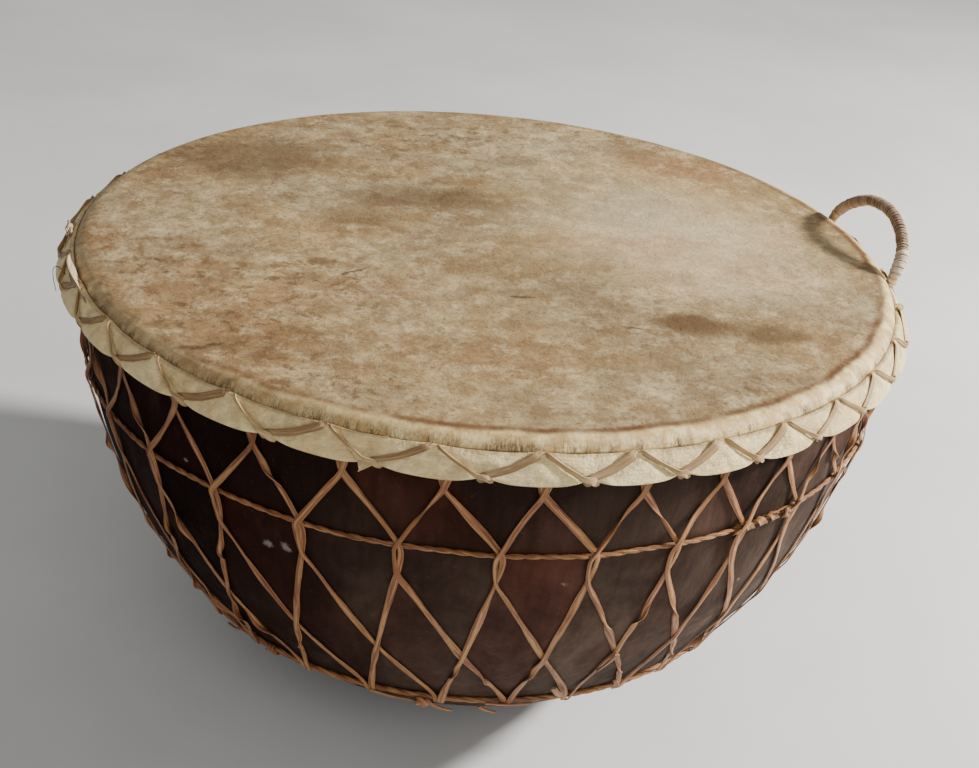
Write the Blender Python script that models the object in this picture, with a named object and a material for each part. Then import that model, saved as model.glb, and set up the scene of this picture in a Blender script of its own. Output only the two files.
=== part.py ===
"""A bowl-shaped kettledrum: a carved wooden shell, a hide head with a white rawhide collar, thong lacing and a loop handle.

Metres, +Z up. The origin is the centre of the flat foot, and +X runs towards the handle.
Depths are measured down from the shell's rim, and azimuths from +X towards +Y.
"""

from math import asin, atan2, cos, pi, radians, sin, sqrt

import bmesh
import bpy
from mathutils import Vector

# Driving sizes of the shell
SHELL_RADIUS = 0.298
SHELL_HEIGHT = 0.340
FOOT_RADIUS = 0.085
WALL = 0.016
FLOOR = 0.020
RIM_ROUND = 0.009
RIM_INNER_ROUND = 0.003
BELLY_DOWN = 2.23
BELLY_OUT = 2.16

# Driving sizes of the hide head and its collar
SKIN = 0.0016
SKIRT_DEPTH = 0.020
COLLAR = 0.0024
COLLAR_SWELL = 0.0008
COLLAR_TOP = 0.0080
COLLAR_BOTTOM = 0.0250
COLLAR_FLARE = 0.0068
COLLAR_SCALLOP = 0.0018

# Driving sizes of the thongs and cords
THONG_WIDTH = 0.0054
THONG = 0.0016
STRAP_WIDTH = 0.0050
STRAP = 0.0014
CORD_RADIUS = 0.0024
LACES = 32

# Levels of the lacing
FORK_DEPTH = 0.035
WAIST_DEPTH = 0.083
STEM = 0.024
CROSS_DEPTH = 0.184
FOOT_CORD_DEPTH = 0.249

# Where the lacing starts, and how its spacing by eye drifts to and fro
FIRST_LACE = radians(-155.9)
DRIFT = radians(2.1)
DRIFT_WAVES = 3
DRIFT_PEAK = radians(-90.5)

# How far the lacing is twisted round the bowl on its way down, in laces
STRAP_LAG = 0.23
CROSSING_LEAD = 0.75
FOOT_LEAD = 1.5

# Driving sizes of the handle
HANDLE_SPAN = 0.122
HANDLE_RISE = 0.034
HANDLE_LEAN = radians(30)
GRIP_RADIUS = 0.0040
ROD_RADIUS = 0.0025
ROD_DEPTH = 0.017

# Clearances
GAP = 0.0004
CHORD_CLEARANCE = 0.0012

# Facets
TURNED_STEPS = 48
BELLY_STEPS = 8
INSIDE_STEPS = 5
ROUND_STEPS = 3
CORD_SIDES = 5
LOOP_STEPS = 2

# The bent loop of the handle, as shares of its span and of its rise
LOOP_SHAPE = (
    (0.03, 0.20),
    (0.11, 0.56),
    (0.26, 0.87),
    (0.49, 1.00),
    (0.71, 0.88),
    (0.88, 0.60),
    (0.98, 0.26),
)

FULL_TURN = 2 * pi


def clear_scene():
    for item in list(bpy.data.objects):
        bpy.data.objects.remove(item, do_unlink=True)


def material(name, colour, roughness, metallic=0.0):
    made = bpy.data.materials.new(name)
    made.use_nodes = True
    shader = made.node_tree.nodes["Principled BSDF"]
    shader.inputs["Base Color"].default_value = (*colour, 1.0)
    shader.inputs["Roughness"].default_value = roughness
    shader.inputs["Metallic"].default_value = metallic
    return made


def finish_mesh(name, shape, surface_material, sharp_above=radians(40)):
    """Turns a bmesh into a named object with its material, shaded smooth apart from its sharp edges."""
    bmesh.ops.recalc_face_normals(shape, faces=shape.faces)
    mesh = bpy.data.meshes.new(name)
    shape.to_mesh(mesh)
    shape.free()
    mesh.shade_smooth()
    mesh.set_sharp_from_angle(angle=sharp_above)
    mesh.materials.append(surface_material)
    made = bpy.data.objects.new(name, mesh)
    bpy.context.scene.collection.objects.link(made)
    return made


# The outside of the bowl is a superellipse cut off flat at the foot
FULL_DEPTH = SHELL_HEIGHT / (1 - (FOOT_RADIUS / SHELL_RADIUS) ** BELLY_OUT) ** (1 / BELLY_DOWN)


def shell_radius(depth):
    return SHELL_RADIUS * (1 - (max(depth, 0.0) / FULL_DEPTH) ** BELLY_DOWN) ** (1 / BELLY_OUT)


def belly_normal(depth):
    """Outward unit normal of the bowl's outside at a depth, as (radial, downward)."""
    outward = BELLY_OUT * shell_radius(depth) ** (BELLY_OUT - 1) / SHELL_RADIUS**BELLY_OUT
    downward = BELLY_DOWN * max(depth, 0.0) ** (BELLY_DOWN - 1) / FULL_DEPTH**BELLY_DOWN
    length = sqrt(outward**2 + downward**2)
    return outward / length, downward / length


def belly_point(depth, offset=0.0):
    """(radius, depth) of a point that stands off the bowl's outside."""
    outward, downward = belly_normal(depth)
    return shell_radius(depth) + offset * outward, depth + offset * downward


def at(radius, azimuth, depth):
    return Vector((radius * cos(azimuth), radius * sin(azimuth), SHELL_HEIGHT - depth))


def drifted(azimuth):
    """Where spacing by eye puts a lace that belongs at this azimuth."""
    return azimuth + DRIFT * cos(DRIFT_WAVES * (azimuth - DRIFT_PEAK))


def lace_azimuth(number):
    """Azimuth of a lace. Half numbers lie halfway between two laces."""
    return drifted(FIRST_LACE + FULL_TURN * number / LACES)


def turned(name, profile, surface_material, closed=False, steps=TURNED_STEPS, first_azimuth=0.0):
    """Turns a profile of (radius, depth) points about the drum's axis."""
    shape = bmesh.new()
    points = [shape.verts.new(at(radius, first_azimuth, depth)) for radius, depth in profile]
    edges = [shape.edges.new(pair) for pair in zip(points, points[1:])]
    if closed:
        edges.append(shape.edges.new((points[-1], points[0])))
    bmesh.ops.spin(
        shape, geom=points + edges, cent=(0, 0, 0), axis=(0, 0, 1), angle=FULL_TURN, steps=steps, use_merge=True
    )
    bmesh.ops.remove_doubles(shape, verts=shape.verts, dist=1e-6)
    return finish_mesh(name, shape, surface_material)


def arc(centre_radius, centre_depth, radius, start, end, steps):
    """Points of an arc in a profile. 0 points outward and a quarter turn points up."""
    angles = [start + (end - start) * step / steps for step in range(steps + 1)]
    return [(centre_radius + radius * cos(angle), centre_depth - radius * sin(angle)) for angle in angles]


def belly_profile(top_depth, bottom_depth, offset, steps):
    """Points along the bowl between two depths, closer together low down, where it curves more."""
    reach = bottom_depth - top_depth
    depths = [top_depth + reach * sin(pi / 2 * step / steps) for step in range(steps + 1)]
    return [belly_point(depth, offset) for depth in depths]


def depth_above_floor():
    """Depth on the bowl's outside whose wall thickness ends at the level of the inside floor."""
    shallow, deep = 0.0, SHELL_HEIGHT
    for _ in range(40):
        middle = (shallow + deep) / 2
        if belly_point(middle, -WALL)[1] < SHELL_HEIGHT - FLOOR:
            shallow = middle
        else:
            deep = middle
    return shallow


def make_shell(wood):
    lip = SHELL_RADIUS - WALL + RIM_INNER_ROUND
    rim = arc(SHELL_RADIUS - RIM_ROUND, RIM_ROUND, RIM_ROUND, pi / 2, 0, ROUND_STEPS)
    outside = belly_profile(RIM_ROUND, SHELL_HEIGHT, 0.0, BELLY_STEPS)
    inside = belly_profile(RIM_INNER_ROUND, depth_above_floor(), -WALL, INSIDE_STEPS)
    profile = [(0.0, SHELL_HEIGHT - FLOOR), *reversed(inside), (lip, 0.0), *rim, *outside[1:], (0.0, SHELL_HEIGHT)]
    return turned("shell", profile, wood)


def make_head(hide):
    """The hide: a flat playing face, a roll over the rim and a skirt down to behind the collar."""
    inner, outer = GAP, GAP + SKIN
    centre = SHELL_RADIUS - RIM_ROUND
    over = arc(centre, RIM_ROUND, RIM_ROUND + outer, pi / 2, 0, ROUND_STEPS)
    under = arc(centre, RIM_ROUND, RIM_ROUND + inner, 0, pi / 2, ROUND_STEPS)
    skirt = [belly_point(SKIRT_DEPTH, outer), belly_point(SKIRT_DEPTH, inner)]
    return turned("drum_head", [(0.0, -outer), *over, *skirt, *under, (0.0, -inner)], hide)


# The collar is a cone that hugs the hide at its upper edge and leans out below
COLLAR_RADIUS = SHELL_RADIUS + 2 * GAP + SKIN
COLLAR_LEAN = atan2(COLLAR_FLARE, COLLAR_BOTTOM - COLLAR_TOP)
FIRST_STRAP = FIRST_LACE - STRAP_LAG * FULL_TURN / LACES


def collar_point(share, out):
    """(radius, depth) of a point a share of the way down the collar, off its inner face."""
    radius = COLLAR_RADIUS + COLLAR_FLARE * share + out * cos(COLLAR_LEAN)
    return radius, COLLAR_TOP + (COLLAR_BOTTOM - COLLAR_TOP) * share - out * sin(COLLAR_LEAN)


def make_collar(rawhide):
    section = ((0.0, 0.0), (0.0, COLLAR), (0.5, COLLAR + COLLAR_SWELL), (1.0, COLLAR), (1.0, 0.0))
    profile = [collar_point(share, out) for share, out in section]
    collar = turned("rim_collar", profile, rawhide, closed=True, steps=2 * LACES, first_azimuth=FIRST_STRAP)
    for vertex in collar.data.vertices:
        scallop(vertex)
    cut_notch(collar, "near", -handle_azimuth())
    cut_notch(collar, "far", handle_azimuth())


def scallop(vertex):
    """Drifts a corner of the collar with the laces, and draws the lower edge up where the strap holds it."""
    x, y, z = vertex.co
    even = atan2(y, x)
    held = (1 + cos(LACES * (even - FIRST_STRAP))) / 2
    low = (SHELL_HEIGHT - COLLAR_TOP - z) / (COLLAR_BOTTOM - COLLAR_TOP)
    radius = sqrt(x**2 + y**2)
    vertex.co = (radius * cos(drifted(even)), radius * sin(drifted(even)), z)
    if low > 0.9:
        vertex.co.z += COLLAR_SCALLOP * held


# The handle's rods stand just outside the hide
ROD_STAND = COLLAR_RADIUS + ROD_RADIUS


def handle_azimuth():
    """Azimuth of the handle's far foot. The near foot mirrors it."""
    return asin(HANDLE_SPAN / 2 / ROD_STAND)


def cut_notch(collar, side, azimuth):
    """Cuts the notch in the collar's upper edge where a rod of the handle goes down."""
    shape = bmesh.new()
    radius = ROD_RADIUS + GAP
    depth = ROD_DEPTH + GAP
    bmesh.ops.create_cone(shape, cap_ends=True, segments=12, radius1=radius, radius2=radius, depth=2 * depth)
    bmesh.ops.translate(shape, verts=shape.verts, vec=at(ROD_STAND, azimuth, 0.0))
    cutter = finish_mesh("notch_cutter_" + side, shape, collar.data.materials[0])
    cutter.hide_render = True
    cutter.display_type = "WIRE"
    cut = collar.modifiers.new("notch_" + side, "BOOLEAN")
    cut.operation = "DIFFERENCE"
    cut.solver = "EXACT"
    cut.object = cutter


def closed_ribbon(name, path, width, thickness, surface_material):
    """One thong that runs right round the drum: a flat section carried along a closed path.

    Each step of the path is a point on the thong's underside with the normal of the surface it lies on.
    """
    shape = bmesh.new()
    rows = []
    for index, (point, normal) in enumerate(path):
        along = path[(index + 1) % len(path)][0] - path[index - 1][0]
        across = normal.cross(along).normalized() * width / 2
        out = normal * thickness
        corners = (point - across, point + across, point + across + out, point - across + out)
        rows.append([shape.verts.new(corner) for corner in corners])
    for row, following in zip(rows, rows[1:] + rows[:1]):
        for side in range(4):
            after = (side + 1) % 4
            shape.faces.new((row[side], row[after], following[after], following[side]))
    return finish_mesh(name, shape, surface_material)


def on_shell(azimuth, depth, offset, sideways=0.0):
    """A step of a path that stands off the bowl, moved sideways round it, with the bowl's normal there."""
    radius, level = belly_point(depth, offset)
    turned_to = azimuth + sideways / radius
    outward, downward = belly_normal(depth)
    return at(radius, turned_to, level), Vector((outward * cos(turned_to), outward * sin(turned_to), -downward))


def on_collar(azimuth, share, out):
    """A step of a path that lies on the collar, with the collar's normal there."""
    radius, depth = collar_point(share, out)
    flat = cos(COLLAR_LEAN)
    return at(radius, azimuth, depth), Vector((flat * cos(azimuth), flat * sin(azimuth), sin(COLLAR_LEAN)))


def on_cord(layer):
    """Height off the bowl of a thong that crosses over a cord, on the first layer or the one above."""
    return 2 * GAP + 2 * CORD_RADIUS + layer * (THONG + GAP)


def on_belly(layer):
    """Height off the bowl of a thong drawn along it, clear of the bowl's curve between the steps of its path."""
    return CHORD_CLEARANCE + layer * (THONG + GAP)


def slanting_run(stem, crossing, foot, lane):
    """The run from a stem down to the foot cord. Halfway it crosses its neighbour, over or under it by its lane."""
    stem_end = WAIST_DEPTH + STEM
    return [
        on_shell((stem + crossing) / 2, (stem_end + CROSS_DEPTH) / 2, on_belly(0)),
        on_shell(crossing, CROSS_DEPTH, on_belly(lane)),
        on_shell((crossing + foot) / 2, (CROSS_DEPTH + FOOT_CORD_DEPTH) / 2, on_belly(0)),
    ]


def side_lacing_path():
    """The one thong of the side lacing.

    From behind the collar it drops to the waist cord, hooks round its neighbour, runs down and loops the foot cord,
    climbs to the stem two laces on, hooks round the neighbour there and goes back up behind the collar.
    """
    beside = (THONG_WIDTH + GAP) / 2
    above_waist, below_foot = WAIST_DEPTH - 2 * CORD_RADIUS, FOOT_CORD_DEPTH + 2 * CORD_RADIUS
    at_foot = FOOT_CORD_DEPTH - CORD_RADIUS
    hook_top, hook_low, stem_end = WAIST_DEPTH + 0.2 * STEM, WAIST_DEPTH + 0.55 * STEM, WAIST_DEPTH + STEM
    behind_collar = 2 * GAP + SKIN
    room = (THONG + 2 * GAP) / COLLAR_FLARE
    loop_top = COLLAR_TOP + (COLLAR_BOTTOM - COLLAR_TOP) * room + THONG_WIDTH / 2
    path = []
    for lace in range(LACES):
        top, node, foot = lace_azimuth(lace + 0.5), lace_azimuth(lace), lace_azimuth(lace + FOOT_LEAD)
        next_node, next_top = lace_azimuth(lace + 2), lace_azimuth(lace + 1.5)
        crossing, next_crossing = lace_azimuth(lace + CROSSING_LEAD), lace_azimuth(lace + 1 + CROSSING_LEAD)
        path += [
            on_shell(top, loop_top, behind_collar),
            on_shell(top, FORK_DEPTH, behind_collar, -beside),
            on_shell(node, above_waist, on_cord(1)),
            on_shell(node, hook_top, on_cord(1), -beside),
            on_shell(node, hook_low, on_cord(0), -beside),
            on_shell(node, stem_end, on_belly(0.5)),
            *slanting_run(node, crossing, foot, 0),
            on_shell(foot, at_foot, on_cord(0), -beside),
            on_shell(foot, below_foot, on_cord(0)),
            on_shell(foot, at_foot, on_cord(0), beside),
            *reversed(slanting_run(next_node, next_crossing, foot, 1.5)),
            on_shell(next_node, stem_end, on_belly(2)),
            on_shell(next_node, hook_low, on_cord(1), beside),
            on_shell(next_node, hook_top, on_cord(0), beside),
            on_shell(next_node, above_waist, on_cord(0)),
            on_shell(next_top, FORK_DEPTH, behind_collar, beside),
        ]
    return path


def collar_lacing_path():
    """The collar's zigzag strap, which turns at the lower edge at each lace and at the upper edge between laces."""
    out = COLLAR + COLLAR_SWELL + GAP
    path = []
    for lace in range(LACES):
        path.append(on_collar(lace_azimuth(lace - STRAP_LAG), 0.92, out))
        path.append(on_collar(lace_azimuth(lace + 0.5 - STRAP_LAG), 0.10, out))
    return path


def make_cord(name, depth, cord):
    """A round cord that girdles the bowl and lies against it."""
    centre = belly_point(depth, GAP + CORD_RADIUS)
    section = arc(*centre, CORD_RADIUS, 0, FULL_TURN, CORD_SIDES)[:-1]
    turned(name, section, cord, closed=True)


def make_handle(wrap):
    """The bound loop: a rod down in the collar's notch at each end, and between them a bent grip that leans out."""
    far, near = at(ROD_STAND, handle_azimuth(), 0.0), at(ROD_STAND, -handle_azimuth(), 0.0)
    rise = Vector((sin(HANDLE_LEAN), 0.0, cos(HANDLE_LEAN))) * HANDLE_RISE
    foot, neck = Vector((0.0, 0.0, -ROD_DEPTH)), Vector((0.0, 0.0, -COLLAR_TOP / 2))
    rod, grip = 1.0, GRIP_RADIUS / ROD_RADIUS
    path = [(far + foot, rod, "VECTOR"), (far + neck, rod, "VECTOR")]
    path += [(far.lerp(near, along) + rise * up, grip, "AUTO") for along, up in LOOP_SHAPE]
    path += [(near + neck, rod, "VECTOR"), (near + foot, rod, "VECTOR")]
    curve = bpy.data.curves.new("handle", "CURVE")
    curve.dimensions = "3D"
    curve.bevel_depth = ROD_RADIUS
    curve.bevel_resolution = 2
    curve.use_fill_caps = True
    line = curve.splines.new("BEZIER")
    line.resolution_u = LOOP_STEPS
    line.bezier_points.add(len(path) - 1)
    for bend, (place, width, kind) in zip(line.bezier_points, path):
        bend.co = place
        bend.radius = width
        bend.handle_left_type = bend.handle_right_type = kind
    curve.materials.append(wrap)
    made = bpy.data.objects.new("handle", curve)
    bpy.context.scene.collection.objects.link(made)


def main():
    clear_scene()
    wood = material("dark_wood", (0.055, 0.022, 0.016), 0.42)
    hide = material("worn_hide", (0.50, 0.38, 0.25), 0.62)
    rawhide = material("white_rawhide", (0.72, 0.65, 0.50), 0.55)
    thong = material("thong_rawhide", (0.45, 0.24, 0.10), 0.45)
    wrap = material("handle_wrap", (0.42, 0.28, 0.18), 0.60)
    make_shell(wood)
    make_head(hide)
    make_collar(rawhide)
    closed_ribbon("collar_lacing", collar_lacing_path(), STRAP_WIDTH, STRAP, thong)
    closed_ribbon("side_lacing", side_lacing_path(), THONG_WIDTH, THONG, thong)
    make_cord("waist_cord", WAIST_DEPTH, thong)
    make_cord("foot_cord", FOOT_CORD_DEPTH, thong)
    make_handle(wrap)


main()
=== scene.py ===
# %% [markdown]
# # A laced kettledrum, dressed for the camera
#
# The real thing is a deep wooden bowl, wider than an arm is long, with a cow hide pulled over its mouth.
# A pale rawhide collar holds the hide, and one long thong is laced from the collar down to a cord near the foot.
#
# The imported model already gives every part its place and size. These cells keep that frame and put finer pieces
# on it: each piece is modelled in its final place, in metres, with the drum's foot at the origin.

from math import asin, atan2, copysign, cos, degrees, floor, pi, radians, sin, sqrt
from random import Random

import bmesh
import bpy
from mathutils import Matrix, Vector, noise


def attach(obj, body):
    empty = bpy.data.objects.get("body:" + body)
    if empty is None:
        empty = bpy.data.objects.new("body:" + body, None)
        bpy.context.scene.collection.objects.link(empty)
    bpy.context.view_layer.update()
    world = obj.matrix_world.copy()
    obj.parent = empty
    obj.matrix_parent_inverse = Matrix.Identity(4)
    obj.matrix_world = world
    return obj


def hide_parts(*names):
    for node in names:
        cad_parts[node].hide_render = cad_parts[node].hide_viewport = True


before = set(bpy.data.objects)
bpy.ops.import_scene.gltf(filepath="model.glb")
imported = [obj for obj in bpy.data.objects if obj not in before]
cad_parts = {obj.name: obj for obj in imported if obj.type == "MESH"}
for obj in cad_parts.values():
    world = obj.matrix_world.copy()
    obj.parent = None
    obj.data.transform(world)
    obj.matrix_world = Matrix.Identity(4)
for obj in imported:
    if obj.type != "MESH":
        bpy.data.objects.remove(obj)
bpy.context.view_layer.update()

# %% [markdown]
# ## Camera
#
# The drum is seen from the front and above, with the loop handle at the right. A camera is a place and three
# directions. Its matrix has the right, the up and the backward direction as columns, so it needs no turning by
# angles. The focal length is given for a sensor 36 mm wide.

# %% Place the camera
EYE = (-0.2391, -1.0786, 0.7972)
SENSOR_WIDTH, FOCAL_LENGTH = 36.0, 58.84
LOOKING = Vector((0.2001, 0.8635, -0.4629)).normalized()
LEVEL = Vector((0.9797, -0.1799, 0.0879)).normalized()


def make_camera():
    lens = bpy.data.cameras.new("camera")
    lens.sensor_width, lens.lens = SENSOR_WIDTH, FOCAL_LENGTH
    camera = bpy.data.objects.new("camera", lens)
    turned = Matrix((LEVEL, LEVEL.cross(LOOKING), -LOOKING)).transposed().to_4x4()
    camera.matrix_world = Matrix.Translation(EYE) @ turned
    bpy.context.scene.collection.objects.link(camera)
    bpy.context.scene.camera = camera


make_camera()
print("camera at", EYE, "with a lens of", FOCAL_LENGTH, "mm")

# %% [markdown]
# ## Light and floor
#
# A soft light from the right, about thirty degrees up, rakes over the hide, so its relief shows, and drops the
# handle's shadow on it. A weak, wide light from the front keeps the dark bowl readable, and the sky fills the rest.
# The floor is one large pale disc. It isn't part of the drum.

# %% Set up the light
def make_light(name, place, target, size, watts, tint):
    lamp = bpy.data.lights.new(name, "AREA")
    lamp.shape, lamp.size, lamp.energy, lamp.color = "DISK", size, watts, tint
    light = bpy.data.objects.new(name, lamp)
    light.location = place
    light.rotation_euler = (Vector(target) - Vector(place)).to_track_quat("-Z", "Y").to_euler()
    bpy.context.scene.collection.objects.link(light)


def make_sky(tint, strength):
    sky = bpy.data.worlds.new("soft_sky")
    sky.use_nodes = True
    background = sky.node_tree.nodes["Background"]
    background.inputs["Color"].default_value = (*tint, 1.0)
    background.inputs["Strength"].default_value = strength
    bpy.context.scene.world = sky


make_light("key_light", (2.55, -0.22, 1.55), target=(0.0, 0.0, 0.25), size=0.30, watts=228.0, tint=(1.0, 0.975, 0.93))
make_light("front_light", (0.3, -2.6, 1.6), target=(0.0, 0.0, 0.2), size=2.0, watts=24.0, tint=(1.0, 0.98, 0.96))
make_sky(tint=(0.98, 0.98, 0.98), strength=0.40)

# %% [markdown]
# ## Small helpers for node materials
#
# A node material is a chain: coordinates go into patterns, patterns become masks between 0 and 1, and masks mix
# colours or push the roughness and the bump about. These few helpers keep each chain readable. Colours are
# written as they look on a screen, from 0 to 255, and turned into the linear values that a shader works with.

# %% Helpers for node materials
def paint(red, green, blue):
    """A screen colour as the linear colour that a shader takes."""
    shares = [value / 255 for value in (red, green, blue)]
    return (*[share / 12.92 if share <= 0.04045 else ((share + 0.055) / 1.055) ** 2.4 for share in shares], 1.0)


def fill(tree, node, inputs):
    """Gives a node's inputs their values, or joins them to other nodes' outputs."""
    for name, value in inputs.items():
        if isinstance(value, bpy.types.NodeSocket):
            tree.links.new(value, node.inputs[name])
        else:
            node.inputs[name].default_value = value
    return node


def add(tree, kind, inputs=None, **settings):
    """Adds a node, with its settings and its inputs."""
    made = tree.nodes.new("ShaderNode" + kind)
    for name, value in settings.items():
        setattr(made, name, value)
    return fill(tree, made, inputs or {})


def maths(tree, operation, first, second=0.0, third=0.0):
    return add(tree, "Math", {0: first, 1: second, 2: third}, operation=operation).outputs[0]


def times(tree, first, second):
    return maths(tree, "MULTIPLY", first, second)


def sloped(tree, value, slope, base):
    """A value times a slope, plus a base."""
    return maths(tree, "MULTIPLY_ADD", value, slope, base)


def mixed(tree, mask, below, above):
    """Lays one colour over another where the mask is 1."""
    return add(tree, "Mix", {0: mask, 6: below, 7: above}, data_type="RGBA").outputs[2]


def tinted(tree, colour, mask, strength, tint):
    """Lays a tint over a colour, at a share of the mask."""
    return mixed(tree, times(tree, mask, strength), colour, tint)


def graded(tree, value, low, high, to_low=0.0, to_high=1.0):
    """Turns the range from low to high into a soft step."""
    ends = {"From Min": low, "From Max": high, "To Min": to_low, "To Max": to_high}
    return add(tree, "MapRange", {"Value": value, **ends}, interpolation_type="SMOOTHSTEP").outputs[0]


def clouds(tree, vector, scale, detail=5.0, roughness=0.55, distortion=0.0):
    grain = {"Scale": scale, "Detail": detail, "Roughness": roughness, "Distortion": distortion}
    return add(tree, "TexNoise", {"Vector": vector, **grain}).outputs["Fac"]


def stretched(tree, vector, scale, turn=0.0, move=(0.0, 0.0, 0.0)):
    """Coordinates stretched along their axes, after a turn about the drum's axis."""
    change = {"Location": move, "Rotation": (0.0, 0.0, turn), "Scale": scale}
    return add(tree, "Mapping", {"Vector": vector, **change}).outputs[0]


def own_place(tree):
    """The piece's own coordinates, in metres."""
    return add(tree, "TexCoord").outputs["Object"]


def vector_maths(tree, operation, first, second=(0.0, 0.0, 0.0), third=(0.0, 0.0, 0.0)):
    return add(tree, "VectorMath", {0: first, 1: second, 2: third}, operation=operation).outputs


def carried(tree, name):
    """A value that the mesh carries on its points."""
    return add(tree, "Attribute", attribute_name=name).outputs["Fac"]


def start_material(name):
    made = bpy.data.materials.new(name)
    made.use_nodes = True
    return made, made.node_tree, made.node_tree.nodes["Principled BSDF"]


def roughen(tree, shader, height, distance, strength=1.0):
    """Joins a height to the shader's normal through a bump."""
    bump = add(tree, "Bump", {"Strength": strength, "Distance": distance, "Height": height})
    tree.links.new(bump.outputs[0], shader.inputs["Normal"])


print("paint(128, 128, 128) is", tuple(round(value, 3) for value in paint(128, 128, 128)))

# %% [markdown]
# ### Shared effects
#
# Three effects turn up in more than one finish, so each is a node group with its own inputs. `mottling` is the
# blotchy change of tone that all hide has, at two sizes at once. `fibre` gives the long hairlike marks of rawhide.
# `stain` is one soft-edged patch of a given place, size and turn.

# %% Build the shared effects
def start_group(name, inputs, outputs):
    """An empty node group. Inputs are (name, kind, value), and kind is Float or Vector."""
    group = bpy.data.node_groups.new(name, "ShaderNodeTree")
    for title, kind, value in inputs:
        socket = group.interface.new_socket(name=title, in_out="INPUT", socket_type="NodeSocket" + kind)
        socket.default_value = value
    for title in outputs:
        group.interface.new_socket(name=title, in_out="OUTPUT", socket_type="NodeSocketFloat")
    return group, group.nodes.new("NodeGroupInput").outputs, group.nodes.new("NodeGroupOutput").inputs


def place_group(tree, group, inputs):
    made = tree.nodes.new("ShaderNodeGroup")
    made.node_tree = group
    return fill(tree, made, inputs).outputs


def make_mottling_group():
    group, given, wanted = start_group(
        "mottling",
        [("Vector", "Vector", (0, 0, 0)), ("Size", "Float", 10.0), ("Fine Size", "Float", 60.0)],
        ["Broad", "Fine"],
    )
    broad = clouds(group, given["Vector"], given["Size"], detail=6.0, roughness=0.62, distortion=0.6)
    group.links.new(graded(group, broad, 0.36, 0.66), wanted["Broad"])
    fine = clouds(group, given["Vector"], given["Fine Size"], detail=8.0, roughness=0.7)
    group.links.new(graded(group, fine, 0.38, 0.64), wanted["Fine"])
    return group


def make_fibre_group():
    group, given, wanted = start_group(
        "fibre",
        [("Vector", "Vector", (0, 0, 0)), ("Size", "Float", 1.0)],
        ["Hairs", "Bundles"],
    )
    hairs = clouds(group, given["Vector"], given["Size"], detail=4.0, roughness=0.65)
    group.links.new(graded(group, hairs, 0.35, 0.67), wanted["Hairs"])
    third = times(group, given["Size"], 0.3)
    bundles = clouds(group, given["Vector"], third, detail=2.0)
    group.links.new(graded(group, bundles, 0.38, 0.62), wanted["Bundles"])
    return group


def make_stain_group():
    group, given, wanted = start_group(
        "stain",
        [
            ("Vector", "Vector", (0, 0, 0)),
            ("Centre", "Vector", (0, 0, 0)),
            ("Half Size", "Vector", (0.05, 0.05, 1.0)),
            ("Turn", "Float", 0.0),
            ("Soft Edge", "Float", 0.5),
        ],
        ["Mask"],
    )
    moved = vector_maths(group, "SUBTRACT", given["Vector"], given["Centre"])[0]
    flat = vector_maths(group, "MULTIPLY", moved, (1.0, 1.0, 0.0))[0]
    turned = add(group, "VectorRotate", {"Vector": flat, "Angle": given["Turn"]}, rotation_type="Z_AXIS").outputs[0]
    shares = vector_maths(group, "DIVIDE", turned, given["Half Size"])[0]
    far = vector_maths(group, "LENGTH", shares)["Value"]
    inner = maths(group, "SUBTRACT", 1.0, given["Soft Edge"])
    outer = maths(group, "ADD", 1.0, given["Soft Edge"])
    group.links.new(graded(group, far, inner, outer, 1.0, 0.0), wanted["Mask"])
    return group


MOTTLING, FIBRE, STAIN = make_mottling_group(), make_fibre_group(), make_stain_group()
print("shared effects:", [group.name for group in bpy.data.node_groups])

# %% [markdown]
# ## The bowl's curve
#
# The outside of the bowl is one smooth curve turned about the drum's axis: a superellipse, cut off flat where the
# drum stands. Almost everything lies on this curve, so the cell below gives a point and a direction on it for
# any depth below the rim. Azimuths run from the handle's side, and the laces are numbered round the drum from
# one hidden at the far left. They were spaced by eye, so the spacing drifts a little to and fro.

# %% The curve of the bowl and the places of the laces
SHELL_RADIUS, SHELL_HEIGHT, FOOT_RADIUS = 0.298, 0.340, 0.085
BELLY_DOWN, BELLY_OUT = 2.23, 2.16
FULL_DEPTH = SHELL_HEIGHT / (1 - (FOOT_RADIUS / SHELL_RADIUS) ** BELLY_OUT) ** (1 / BELLY_DOWN)
LACES, FIRST_LACE = 32, radians(-155.9)
DRIFT, DRIFT_WAVES, DRIFT_PEAK = radians(2.1), 3, radians(-90.5)
STRAP_LAG, CROSSING_LEAD, FOOT_LEAD = 0.23, 0.75, 1.5
FORK_DEPTH, WAIST_DEPTH, STEM, CROSS_DEPTH, FOOT_CORD_DEPTH = 0.0365, 0.083, 0.024, 0.184, 0.249
FULL_TURN, UP = 2 * pi, Vector((0.0, 0.0, 1.0))


def clamped(value):
    return min(max(value, 0.0), 1.0)


def wave(x, y, z=0.0):
    """A smooth random value at a place, the same in every run."""
    return noise.noise(Vector((x, y, z)))


def shell_radius(depth):
    return SHELL_RADIUS * (1 - (max(depth, 0.0) / FULL_DEPTH) ** BELLY_DOWN) ** (1 / BELLY_OUT)


def belly_normal(depth):
    """Outward direction of the bowl's outside at a depth, as (radial, downward)."""
    outward = BELLY_OUT * shell_radius(depth) ** (BELLY_OUT - 1) / SHELL_RADIUS**BELLY_OUT
    downward = BELLY_DOWN * max(depth, 0.0) ** (BELLY_DOWN - 1) / FULL_DEPTH**BELLY_DOWN
    length = sqrt(outward**2 + downward**2)
    return outward / length, downward / length


def belly_point(depth, lift=0.0):
    """(radius, depth) of a point that is lifted off the bowl's outside."""
    outward, downward = belly_normal(depth)
    return shell_radius(depth) + lift * outward, depth + lift * downward


def at(radius, azimuth, depth):
    return Vector((radius * cos(azimuth), radius * sin(azimuth), SHELL_HEIGHT - depth))


def drifted(azimuth):
    return azimuth + DRIFT * cos(DRIFT_WAVES * (azimuth - DRIFT_PEAK))


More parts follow.
